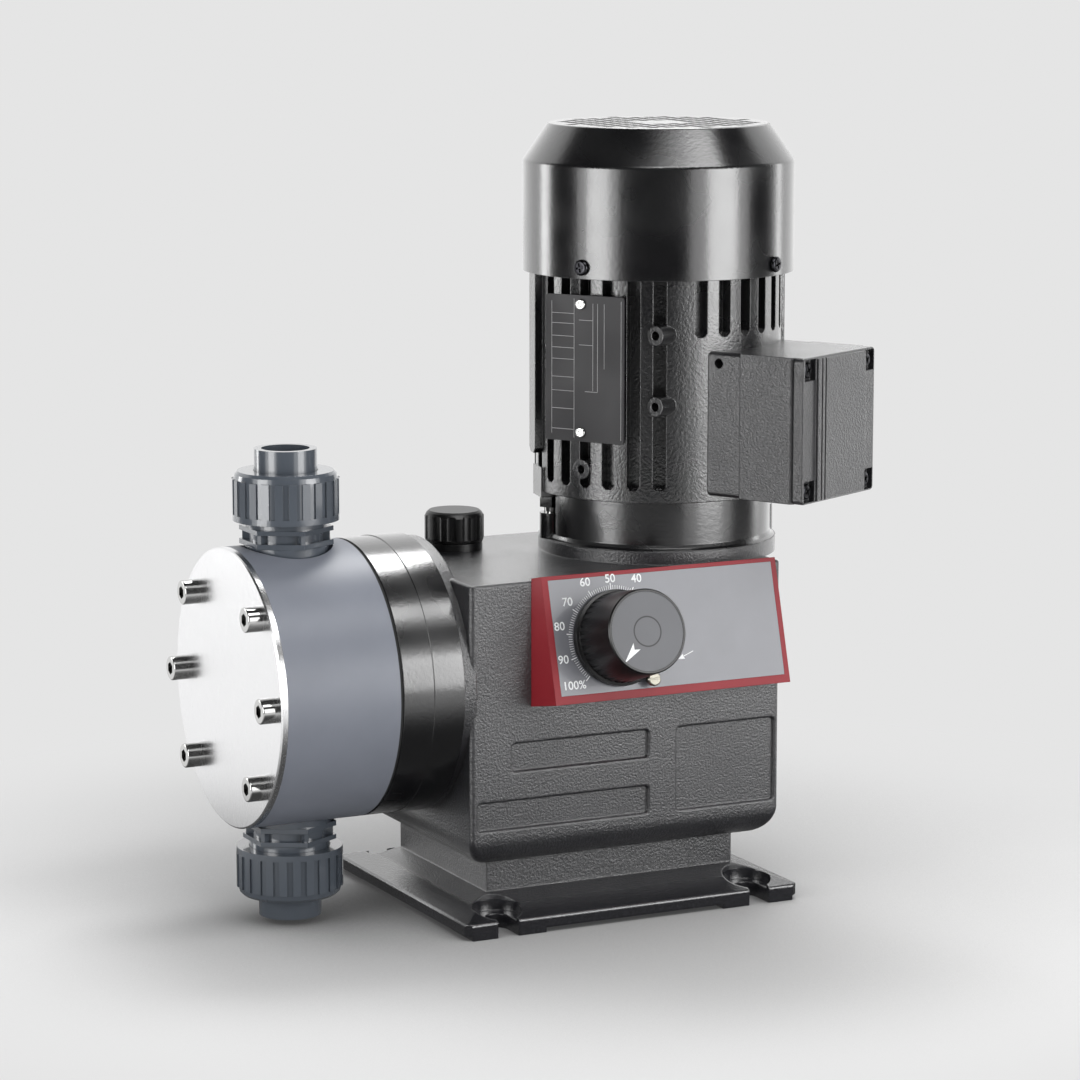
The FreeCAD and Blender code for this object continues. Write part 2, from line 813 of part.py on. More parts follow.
    # The gear room, then the bosses that carry the bearings inside it.
    wall = d.housing_wall
    room = rectangle(
        d.housing_head_side + wall, d.housing_far_side - wall, wall - d.housing_half_width, d.housing_half_width - wall
    )
    piece.pocket(
        piece.polygons("XY_Plane", [room], d.housing_floor), d.housing_top - wall - d.housing_floor, True
    )
    inner_wall = d.housing_half_width - wall
    boss_radius = d.bearing_radius + d.bearing_boss_wall
    bearing_inside = d.shaft_half_length - d.bearing_width
    boss = piece.circles("XZ_Plane", [(d.eccentric_x, d.head_axis_height)], boss_radius, bearing_inside)
    piece.pad(boss, inner_wall - bearing_inside + 1)
    worm_boss = piece.circles("XY_Plane", [(d.motor_x, 0)], d.worm_bearing_radius + 4, d.housing_floor - 1)
    worm_boss_top = d.worm_bearing_bottom + d.worm_bearing_width
    piece.pad(worm_boss, worm_boss_top - d.housing_floor + 1)
    bearing = piece.circles(
        "XZ_Plane", [(d.eccentric_x, d.head_axis_height)], d.bearing_radius, bearing_inside
    )
    piece.pocket(bearing, d.bearing_width, True)
    worm_seat = piece.circles("XY_Plane", [(d.motor_x, 0)], d.worm_bearing_radius, d.worm_bearing_bottom)
    piece.pocket(worm_seat, d.worm_bearing_width + 1, True)

    # Openings: motor spigot, head bore, far bearing cover, vent, spindle, drain and the bolts of the head.
    spigot = piece.circles("XY_Plane", [(d.motor_x, 0)], d.flange_spigot_radius, d.pad_top)
    piece.pocket(spigot, d.pad_top - d.housing_top + wall + 1)
    bore = piece.circles("YZ_Plane", [(0, d.head_axis_height)], d.neck_bore_radius, d.ring_back - 1)
    piece.pocket(bore, d.housing_head_side - d.ring_back + wall + 2, True)
    cover = piece.circles(
        "XZ_Plane", [(d.eccentric_x, d.head_axis_height)], d.cover_bore_radius, -d.housing_half_width
    )
    piece.pocket(cover, wall + 1, True)
    vent = piece.circles("XY_Plane", [(d.vent_x, d.vent_y)], d.vent_stem_radius, d.housing_top)
    piece.pocket(vent, wall + 1)
    drain_hole = piece.circles(
        "YZ_Plane", [(d.drain_y, d.drain_height)], d.drain_thread_radius, d.housing_far_side + d.drain_boss_height
    )
    piece.pocket(drain_hole, wall + d.drain_boss_height + 1)
    bolts = [(y, d.head_axis_height - x) for x, y in head_bolt_points()]
    piece.pocket(piece.circles("YZ_Plane", bolts, d.bolt_radius, d.ring_back), d.bolt_thread_depth, True)
    spindle = piece.circles("XZ_Plane", [(0, 0)], d.bush_radius)
    spindle.AttachmentOffset = Placement(Vector(), Rotation(X_AXIS, -number(d.panel_tilt)))
    bind(spindle, "AttachmentOffset.Rotation.Angle", -d.panel_tilt)
    for letter, size in zip("xyz", (d.knob_x, d.knob_height, -d.knob_y)):
        bind(spindle, f"AttachmentOffset.Base.{letter}", size)
    piece.pocket(spindle, d.bush_radius * 5)
    covers = []
    for angle in (45, 135, 225, 315):
        reach = d.cover_bolt_circle_radius
        covers.append((d.eccentric_x + reach * cosine(angle), d.head_axis_height + reach * sine(angle)))
    piece.pocket(piece.circles("XZ_Plane", covers, d.cover_bolt_radius, -d.housing_half_width), wall, True)
    return piece


def make_head():
    """The dosing head: ring, diaphragm, plastic body, front disc and its bolts."""
    hole = d.bolt_radius + d.hole_clearance

    ring = Piece("intermediate_ring", head_centre, ALONG_X)
    web_front = d.ring_back - d.ring_web
    seam = ring_front + d.ring_length / 2
    ring.revolve([
        (d.ring_web_bore_radius, web_front),
        (d.ring_recess_radius, web_front),
        (d.ring_recess_radius, ring_front),
        (d.head_radius, ring_front),
        (d.head_radius, seam),
        (d.head_radius + d.ring_step, seam),
        (d.head_radius + d.ring_step, d.ring_back),
        (d.ring_web_bore_radius, d.ring_back),
    ])
    ring.pocket(ring.circles("XY_Plane", head_bolt_points(), hole, ring_front), d.ring_length, True)

    diaphragm = Piece("diaphragm", head_centre, ALONG_X)
    centre_back = d.membrane_front + d.membrane_thickness
    rim = d.head_radius - d.diaphragm_rim_inset
    fold = (d.membrane_inner_radius + d.ring_recess_radius) / 2
    diaphragm.revolve([
        (0, d.membrane_front),
        (d.membrane_inner_radius, d.membrane_front),
        (fold, d.membrane_front + d.membrane_sweep),
        (d.chamber_radius - 0.5, head_back),
        (rim, head_back),
        (rim, ring_front),
        (d.ring_recess_radius - 0.5, ring_front),
        (fold, centre_back + d.membrane_sweep - 1.3),
        (d.membrane_inner_radius, centre_back),
        (0, centre_back),
    ])
    diaphragm.pocket(
        diaphragm.circles("XY_Plane", head_bolt_points(), hole, head_back), d.diaphragm_rim, True
    )

    head = Piece("dosing_head", head_centre, ALONG_X)
    channel_x = head_back - d.chamber_depth
    head.revolve([
        (0, head_front),
        (d.head_radius, head_front),
        (d.head_radius, head_back),
        (d.chamber_radius, head_back),
        (d.membrane_inner_radius, channel_x),
        (0, channel_x),
    ])
    head.pocket(head.circles("XY_Plane", head_bolt_points(), hole, head_front), d.head_length, True)
    for side in (-1, 1):
        # The local X axis points down, so the discharge side is at negative X.
        flat = d.valve_face
        spotface = head.circles("YZ_Plane", [(0, d.valve_x)], d.valve_seat_radius, side * flat)
        head.pocket(spotface, 10, side > 0)
        thread = head.circles(
            "YZ_Plane", [(0, d.valve_x)], d.valve_thread_radius, side * (flat - d.valve_thread_length)
        )
        head.pocket(thread, d.valve_thread_length + 1, side > 0)
        well = head.circles("YZ_Plane", [(0, d.valve_x)], d.channel_radius, side * d.channel_offset)
        head.pocket(well, flat - d.channel_offset, side > 0)
    link = head.circles(
        "XY_Plane", [(d.channel_offset, 0), (-d.channel_offset, 0)], d.channel_radius, channel_x + 1
    )
    head.pocket(link, channel_x + 1 - d.valve_x)

    disc = Piece("front_disc", head_centre, ALONG_X)
    disc.revolve([
        (0, disc_front),
        (d.head_radius - d.disc_edge, disc_front),
        (d.head_radius, disc_front + d.disc_edge),
        (d.head_radius, head_front),
        (0, head_front),
    ])
    disc.pocket(disc.circles("XY_Plane", head_bolt_points(), hole, disc_front), d.disc_thickness, True)

    screws = Piece("head_screws", head_centre, ALONG_X)
    crown = disc_front - d.bolt_head_height
    screws.pad(screws.circles("XY_Plane", head_bolt_points(), d.bolt_head_radius, crown), d.bolt_head_height)
    screws.soften(0.8, lambda edge: at_height(edge, crown))
    shank = screws.circles("XY_Plane", head_bolt_points(), d.bolt_radius, disc_front)
    screws.pad(shank, d.ring_back - disc_front + d.bolt_thread_depth)
    sockets = [hexagon(d.bolt_socket_flats, point) for point in head_bolt_points()]
    screws.pocket(screws.polygons("XY_Plane", sockets, crown), d.bolt_socket_depth, True)


def make_valve(name, side):
    """One valve with its union; side is 1 for the discharge on top and -1 for the suction below."""
    turn = UPRIGHT if side > 0 else (X_AXIS, 180)
    at = (d.valve_x, 0, d.head_axis_height)
    face = d.valve_face
    collar_top = face + d.valve_collar_height
    low_top = collar_top + d.hexagon_low_height
    high_bottom = low_top + d.hexagon_gap
    high_top = high_bottom + d.hexagon_high_height
    thread_top = high_top + d.union_thread_length
    inside = face - d.valve_thread_length

    # Flow is upwards, so the ball sits on the inner seat at the top and on the outer one below.
    ball_bore = d.ball_bore_radius
    throat = d.passage_radius - 1.5
    if side > 0:
        seat_low = inside
        cage_low = inside + d.seat_height
        cage_high = cage_low + 2 * d.ball_radius + d.ball_lift + 1
    else:
        seat_low = thread_top - 3 - d.seat_height
        cage_high = seat_low
        cage_low = cage_high - 2 * d.ball_radius - d.ball_lift - 1

    body = Piece(f"{name}_valve_body", at, turn)
    outer = [
        (d.valve_thread_radius, inside),
        (d.valve_thread_radius, face),
        (d.valve_collar_radius, face),
        (d.valve_collar_radius, collar_top),
        (d.valve_core_radius, collar_top),
        (d.valve_core_radius, high_top),
        (d.union_thread_radius, high_top),
        (d.union_thread_radius, thread_top),
    ]
    seat_outer = ball_bore + 1.6
    body.revolve([(0, inside)] + outer + [(0, thread_top)])
    hexes = body.polygons("XY_Plane", [hexagon(d.hexagon_flats, turn=90)], collar_top)
    body.pad(hexes, d.hexagon_low_height)
    body.pad(
        body.polygons("XY_Plane", [hexagon(d.hexagon_flats, turn=90)], high_bottom), d.hexagon_high_height
    )
    ribs = []
    for k in range(6):
        angle = 90 + 60 * k
        along = (cosine(angle), sine(angle))
        across = (-sine(angle), cosine(angle))
        near, far, half = d.valve_core_radius - 1, d.hexagon_flats / 2 + 1.5, 1.2
        ribs.append([
            (near * along[0] + half * across[0], near * along[1] + half * across[1]),
            (near * along[0] - half * across[0], near * along[1] - half * across[1]),
            (far * along[0] - half * across[0], far * along[1] - half * across[1]),
            (far * along[0] + half * across[0], far * along[1] + half * across[1]),
        ])
    body.pad(body.polygons("XY_Plane", ribs, low_top), d.hexagon_gap)
    if side > 0:
        way = [
            (d.passage_radius, thread_top),
            (d.passage_radius, cage_high + 4),
            (throat, cage_high),
            (ball_bore, cage_high),
            (ball_bore, cage_low),
            (seat_outer, cage_low),
            (seat_outer, inside),
        ]
    else:
        way = [
            (seat_outer, thread_top),
            (seat_outer, seat_low),
            (ball_bore, cage_high),
            (ball_bore, cage_low),
            (throat, cage_low),
            (d.channel_radius, inside),
        ]
    body.groove([(0, thread_top)] + way + [(0, inside)])

    seat = Piece(f"{name}_valve_seat", at, turn)
    seat_high = seat_low + d.seat_height
    cone = d.seat_cone
    if side > 0:
        seat.revolve([
            (d.seat_bore_radius, seat_low),
            (seat_outer, seat_low),
            (seat_outer, seat_high),
            (d.seat_bore_radius + cone, seat_high),
            (d.seat_bore_radius, seat_high - cone),
        ])
    else:
        seat.revolve([
            (d.seat_bore_radius + cone, seat_low),
            (seat_outer, seat_low),
            (seat_outer, seat_high),
            (d.seat_bore_radius, seat_high),
            (d.seat_bore_radius, seat_low + cone),
        ])

    # The ball would rest on the seat's 45 degree cone; the clearance keeps the two just apart.
    rise = d.ball_radius * math.sqrt(2) - d.seat_bore_radius - cone + d.seat_clearance
    middle = seat_high + rise if side > 0 else seat_low - rise
    ball = Piece(f"{name}_valve_ball", (d.valve_x, 0, d.head_axis_height + side * middle), turn)
    half = ball.sketch("XZ_Plane")
    arc = Part.ArcOfCircle(Part.Circle(Vector(), Z_AXIS, number(d.ball_radius)), -math.pi / 2, math.pi / 2)
    half.addGeometry(arc, False)
    half.addGeometry(
        Part.LineSegment(Vector(0, number(d.ball_radius), 0), Vector(0, -number(d.ball_radius), 0)), False
    )
    half.addConstraint(Sketcher.Constraint("Coincident", 0, 2, 1, 1))
    half.addConstraint(Sketcher.Constraint("Coincident", 0, 1, 1, 2))
    half.addConstraint(Sketcher.Constraint("Coincident", 0, 3, -1, 1))
    half.addConstraint(Sketcher.Constraint("PointOnObject", 1, 1, -2))
    index = half.addConstraint(Sketcher.Constraint("Radius", 0, number(d.ball_radius)))
    half.setExpression(f"Constraints[{index}]", d.ball_radius.formula)
    turned = ball.feature("PartDesign::Revolution", half)
    turned.ReferenceAxis = (half, ["V_Axis"])
    turned.Angle = 360

    nut_bottom = high_top + d.nut_gap
    nut_top = nut_bottom + d.nut_height
    lip_bottom = nut_top - d.nut_lip
    nut = Piece(f"{name}_union_nut", at, turn)
    base = d.nut_radius - d.nut_rib_depth
    nut.revolve([
        (d.union_thread_radius + d.nut_clearance, nut_bottom),
        (d.nut_radius, nut_bottom),
        (d.nut_radius, nut_bottom + d.nut_rim_height),
        (base, nut_bottom + d.nut_rim_height),
        (base, nut_top - d.nut_shoulder),
        (base - 0.5, nut_top - 1.5),
        (base - 2.0, nut_top),
        (d.socket_radius + d.nut_clearance, nut_top),
        (d.socket_radius + d.nut_clearance, lip_bottom),
        (d.union_thread_radius + d.nut_clearance, lip_bottom),
    ])
    rib = nut.polygons(
        "XY_Plane",
        [rectangle(base - 1, d.nut_radius, -d.nut_rib_width / 2, d.nut_rib_width / 2)],
        nut_bottom + d.nut_rim_height,
    )
    raised = nut.pad(rib, d.nut_height - d.nut_rim_height - d.nut_shoulder)
    nut.around([raised], 24)

    socket = Piece(f"{name}_union_socket", at, turn)
    flange_top = lip_bottom - d.nut_clearance
    flange_bottom = flange_top - d.socket_flange_height
    socket_top = nut_top + d.socket_rise
    bore_bottom = socket_top - d.socket_bore_length
    socket.revolve([
        (d.passage_radius, flange_bottom),
        (d.socket_flange_radius, flange_bottom),
        (d.socket_flange_radius, flange_top),
        (d.socket_radius, flange_top),
        (d.socket_radius, socket_top),
        (d.socket_bore_radius, socket_top),
        (d.socket_bore_radius, bore_bottom),
        (d.passage_radius, bore_bottom),
    ])

    seal = Piece(f"{name}_o_ring", at, turn)
    half_section = d.o_ring_section / 2
    seal.revolve(ring_profile(d.o_ring_radius - half_section, d.o_ring_radius + half_section, thread_top, flange_bottom))


def make_vent():
    """The oil filler: a base ring, and the fluted cap that screws into it."""
    base = Piece("vent_base", (d.vent_x, d.vent_y, d.housing_top))
    base.revolve(ring_profile(d.vent_stem_radius - 1.5, d.vent_base_radius, 0, d.vent_base_height))
    base.pad(base.circles("XY_Plane", [(0, 0)], d.vent_stem_radius - 0.01, 0), d.vent_stem_length, True)
    base.pocket(base.circles("XY_Plane", [(0, 0)], d.vent_stem_radius - 1.5, d.vent_base_height), 60)

    cap = Piece("vent_cap", (d.vent_x, d.vent_y, d.housing_top))
    low = d.vent_base_height + d.vent_gap
    high = low + d.vent_cap_height
    plug = d.vent_stem_radius - 1.5 - d.hole_clearance
    cap.revolve([
        (0, -4),
        (plug, -4),
        (plug, low),
        (d.vent_cap_radius - 0.6, low),
        (d.vent_cap_radius, low + 1.5),
        (d.vent_cap_radius, high - 3.0),
        (d.vent_cap_radius - 1.2, high - 1.0),
        (d.vent_cap_radius - 2.4, high),
        (0, high),
    ])
    reach = d.vent_cap_radius + d.vent_flute_radius - 0.9
    flute = cap.pocket(cap.circles("XY_Plane", [(reach, 0)], d.vent_flute_radius, low + 1.5), 13, True)
    cap.around([flute], 12)


def make_control():
    """The stroke control: frame, scale plate, knob with spindle and cam, and lock screw."""
    frame = Piece("scale_frame", control_centre, control_turn)
    border = d.frame_border
    front = rectangle(
        d.scale_left - border, d.scale_right + border * 0.8, d.scale_low - border * 1.2, d.scale_high + border * 0.6
    )
    front_sketch = frame.polygons("XY_Plane", [front])
    # The back lies on the upright side of the housing.
    flare = d.frame_flare
    back_height = (d.housing_half_width + d.knob_y) * cosine(d.panel_tilt)
    shift = (d.housing_half_width + d.knob_y) * sine(d.panel_tilt)
    back_sketch = frame.polygons(
        "XY_Plane",
        [rectangle(
            d.scale_left - border - flare,
            d.scale_right + border * 0.8 + flare * 0.4,
            d.frame_back_low - d.knob_height,
            d.frame_back_high - d.knob_height,
        )],
        tilt=d.panel_tilt,
    )
    back_sketch.setExpression("AttachmentOffset.Base.z", back_height.formula)
    back_sketch.setExpression("AttachmentOffset.Base.y", (-shift).formula)
    frame.loft(front_sketch, back_sketch)
    seat = frame.polygons("XY_Plane", [rectangle(d.scale_left, d.scale_right, d.scale_low, d.scale_high)])
    frame.pocket(seat, d.scale_thickness)
    frame.pocket(frame.circles("XY_Plane", [(0, 0)], d.knob_hub_bore_radius), 60)
    frame.pocket(frame.circles("XY_Plane", [(d.lock_screw_x, d.lock_screw_y)], d.lock_screw_radius), 60)

    plate = Piece("scale_plate", control_centre, control_turn)
    plate_sketch = plate.polygons(
        "XY_Plane", [rectangle(d.scale_left, d.scale_right, d.scale_low, d.scale_high)], -d.scale_thickness
    )
    plate.pad(plate_sketch, d.scale_thickness)
    plate.pocket(plate.circles("XY_Plane", [(0, 0)], d.knob_hub_bore_radius), 5)
    plate.pocket(plate.circles("XY_Plane", [(d.lock_screw_x, d.lock_screw_y)], d.lock_screw_radius), 5)

    knob = Piece("stroke_knob", control_centre, control_turn)
    top = d.knob_height_over_panel
    skirt_top = d.knob_gap + d.knob_skirt_height
    floor = top - d.knob_face_recess
    lip = d.knob_face_radius - d.knob_face_border
    inside = d.knob_grip_radius - 3.0
    knob.revolve([
        (d.spindle_radius, floor - 12),
        (d.spindle_radius, floor - 3),
        (0, floor - 3),
        (0, floor),
        (lip, floor),
        (lip, top),
        (d.knob_face_radius - 0.6, top),
        (d.knob_face_radius, top - 0.8),
        (d.knob_grip_radius, skirt_top + 0.6),
        (d.knob_skirt_radius, skirt_top),
        (d.knob_skirt_radius, d.knob_gap),
        (inside, d.knob_gap),
        (inside, floor - 12),
    ])
    flute = knob.pocket(
        knob.circles("XY_Plane", [(d.knob_grip_radius + d.knob_flute_radius * 0.35, 0)], d.knob_flute_radius, skirt_top + 0.8),
        top - skirt_top - 2.0,
        True,
    )
    knob.around([flute], d.knob_flutes)

    face = Piece("knob_disc", control_centre, control_turn)
    face.revolve(ring_profile(0, lip, floor, top - 0.2))

    # The cam's reach grows evenly with the turn, so that the knob sets how far the rod may return.
    steps = 18
    low, rise, sweep = number(d.cam_low_radius), number(d.stroke), number(d.knob_turn)
    curve = []
    for k in range(steps + 1):
        angle = math.radians(180 + sweep * k / steps)
        reach = low + rise * k / steps
        curve.append(Vector(reach * math.cos(angle), reach * math.sin(angle), 0))
    spiral = Part.BSplineCurve()
    spiral.interpolate(curve)
    outline = Part.Wire([spiral.toShape(), Part.LineSegment(curve[-1], curve[0]).toShape()])
    cam_low = number(d.cam_axis_offset - rod_distance)
    lobe = Part.Face(outline).extrude(Vector(0, 0, number(d.cam_thickness)))
    lobe.translate(Vector(0, 0, cam_low))
    stem = Part.makeCylinder(
        number(d.spindle_radius) - 0.01, number(floor - 3) - cam_low, Vector(0, 0, cam_low)
    )
    spindle = doc.addObject("Part::Feature", "adjusting_spindle")
    spindle.Label = "adjusting_spindle"
    spindle.Shape = lobe.fuse(stem).removeSplitter()
    spindle.Placement = Placement(
        Vector(*[number(c) for c in control_centre]), Rotation(control_turn[0], number(control_turn[1]))
    )
    pieces.append(spindle)

    bush = Piece("spindle_bush", control_centre, control_turn)
    wall_out = (d.housing_half_width + d.knob_y) / cosine(d.panel_tilt)
    wall_in = wall_out - d.housing_wall / cosine(d.panel_tilt) - 4
    bush.revolve(ring_profile(d.spindle_radius + d.running_fit, d.bush_radius, wall_in, wall_out - 3))

    screw = Piece("lock_screw", (
        d.knob_x + d.lock_screw_x,
        d.knob_y + d.lock_screw_y * sine(d.panel_tilt),
        d.knob_height + d.lock_screw_y * cosine(d.panel_tilt),
    ), control_turn)
    head_low = skirt_top + d.hole_clearance
    shank = d.lock_screw_radius - d.running_fit
    screw.revolve([
        (0, -d.lock_screw_length),
        (shank, -d.lock_screw_length),
        (shank, head_low),
        (d.lock_screw_head_radius, head_low),
        (d.lock_screw_head_radius, head_low + d.lock_screw_head_height - 0.5),
        (d.lock_screw_head_radius - 0.5, head_low + d.lock_screw_head_height),
        (0, head_low + d.lock_screw_head_height),
    ])
    slot = rectangle(-5, 5, -d.lock_screw_slot / 2, d.lock_screw_slot / 2)
    screw.pocket(screw.polygons("XY_Plane", [slot], head_low + d.lock_screw_head_height), 1.2)


def make_drive():
    """The stroke drive: rod, spring, guide, seal, eccentric shaft, worm wheel and bearings."""
    rod = Piece("push_rod", head_centre, ALONG_X)
    plate_front = d.spring_plate_back - d.spring_plate_thickness
    root_front = d.fork_back - d.fork_length - d.fork_root
    rod.revolve([
        (0, d.rod_front),
        (d.rod_radius, d.rod_front),
        (d.rod_radius, plate_front),
        (d.spring_plate_radius, plate_front),
        (d.spring_plate_radius, d.spring_plate_back),
        (d.rod_radius, d.spring_plate_back),
        (d.rod_radius, root_front + 1),
        (0, root_front + 1),
    ])
    high, out, inner = d.fork_half_height, d.fork_outer, d.fork_inner
    rod.pad(rod.polygons("XY_Plane", [rectangle(-high, high, -out, out)], root_front), d.fork_root)
    tines = [rectangle(-high, high, -out, -inner), rectangle(-high, high, inner, out)]
    rod.pad(rod.polygons("XY_Plane", tines, root_front + d.fork_root - 1), d.fork_length + 1)

    core = Piece("diaphragm_core", head_centre, ALONG_X)
    core_front = d.membrane_front + d.membrane_thickness
    core.revolve([
        (0, core_front),
        (d.core_radius, core_front),
        (d.core_radius, core_front + 3.5),
        (d.rod_radius + 4, d.rod_front),
        (0, d.rod_front),
    ])

    bush = Piece("guide_bush", head_centre, ALONG_X)
    web_front = d.ring_back - d.ring_web
    seal_back = web_front + 4
    bush.revolve(ring_profile(d.rod_radius + d.running_fit, d.ring_web_bore_radius, seal_back, d.ring_back))
    seal = Piece("rod_seal", head_centre, ALONG_X)
    seal.revolve(ring_profile(d.rod_radius + d.running_fit, d.ring_web_bore_radius, web_front, seal_back))

    # The return spring, coiled from square wire.
    spring = doc.addObject("Part::Feature", "return_spring")
    spring.Label = "return_spring"
    wire, coil = number(d.spring_wire) / 2, number(d.spring_radius)
    gap = number(d.spring_end_gap)
    start = number(d.ring_back) + wire + gap
    length = number(plate_front) - wire - gap - start
    path = Part.makeHelix(length / number(d.spring_turns), length, coil)
    corners = []
    for side, rise in ((-wire, -wire), (wire, -wire), (wire, wire), (-wire, wire), (-wire, -wire)):
        corners.append(Vector(coil + side, 0, rise))
    section = Part.Wire(Part.makePolygon(corners))
    spring.Shape = Part.Wire(path.Edges).makePipeShell([section], True, True)
    spring.Placement = Placement(Vector(start, 0, number(d.head_axis_height)), Rotation(*ALONG_X))
    pieces.append(spring)

    shaft = Piece("eccentric_shaft", shaft_centre, ALONG_Y)
    end = d.shaft_half_length - d.bearing_width
    shaft.revolve([
        (0, -d.shaft_half_length),
        (d.shaft_end_radius, -d.shaft_half_length),
        (d.shaft_end_radius, -end),
        (d.shaft_radius, -end),
        (d.shaft_radius, end),
        (d.shaft_end_radius, end),
        (d.shaft_end_radius, d.shaft_half_length),
        (0, d.shaft_half_length),
    ])
    shaft.pad(shaft.circles("XY_Plane", [(eccentric_throw, 0)], d.eccentric_radius, -d.fork_outer), d.fork_outer - d.fork_inner)

    lobe = Piece("eccentric_disc", shaft_centre, ALONG_Y)
    lobe.pad(lobe.circles("XY_Plane", [(eccentric_throw, 0)], d.eccentric_radius, d.fork_inner), d.fork_outer - d.fork_inner)
    lobe.pocket(lobe.circles("XY_Plane", [(0, 0)], d.shaft_radius, d.fork_inner), 20, True)

    bearings = Piece("shaft_bearings", shaft_centre, ALONG_Y)
    bearings.revolve(
        ring_profile(d.shaft_end_radius + d.running_fit, d.bearing_radius, -d.shaft_half_length, -end),
        ring_profile(d.shaft_end_radius + d.running_fit, d.bearing_radius, end, d.shaft_half_length),
    )

    cover = Piece("bearing_cover", shaft_centre, ALONG_Y)
    side = d.housing_half_width
    outer = d.bearing_radius + d.bearing_boss_wall
    cover.revolve([
        (0, d.shaft_half_length + 0.5),
        (d.bearing_radius - 3, d.shaft_half_length + 0.5),
        (d.bearing_radius - 3, d.shaft_half_length),
        (d.bearing_radius, d.shaft_half_length),
        (d.bearing_radius, end),
        (outer, end),
        (outer, side - d.housing_wall),
        (d.cover_bore_radius - 0.05, side - d.housing_wall),
        (d.cover_bore_radius - 0.05, side),
        (d.cover_flange_radius, side),
        (d.cover_flange_radius, side + d.cover_flange_thickness - 1.5),
        (d.cover_flange_radius - 1.5, side + d.cover_flange_thickness),
        (0, side + d.cover_flange_thickness),
    ])
    places = []
    for angle in (45, 135, 225, 315):
        places.append((d.cover_bolt_circle_radius * cosine(angle), d.cover_bolt_circle_radius * sine(angle)))
    flange_top = side + d.cover_flange_thickness
    cover.pocket(cover.circles("XY_Plane", places, d.cover_bolt_radius + d.hole_clearance, flange_top), d.cover_flange_thickness)

    screws = Piece("bearing_cover_screws", shaft_centre, ALONG_Y)
    screws.pad(
        screws.circles("XY_Plane", places, d.cover_bolt_head_radius, flange_top), d.cover_bolt_head_height
    )
    reach = d.cover_flange_thickness + d.housing_wall - 1
    screws.pad(screws.circles("XY_Plane", places, d.cover_bolt_radius, flange_top), reach, True)
    sockets = [hexagon(d.bolt_socket_flats * 0.83, place) for place in places]
    screws.pocket(screws.polygons("XY_Plane", sockets, flange_top + d.cover_bolt_head_height), 3)

    plug = Piece(
        "oil_drain_plug", (d.housing_far_side + d.drain_boss_height, d.drain_y, d.drain_height), ALONG_X
    )
    plug.revolve([
        (0, -d.housing_wall),
        (d.drain_thread_radius - 0.01, -d.housing_wall),
        (d.drain_thread_radius - 0.01, 0),
        (d.drain_boss_radius - 1.5, 0),
        (d.drain_boss_radius - 1.5, 1.5),
        (0, 1.5),
    ])
    plug.pad(plug.polygons("XY_Plane", [hexagon(d.drain_hexagon)], 1.5), d.drain_head_height)


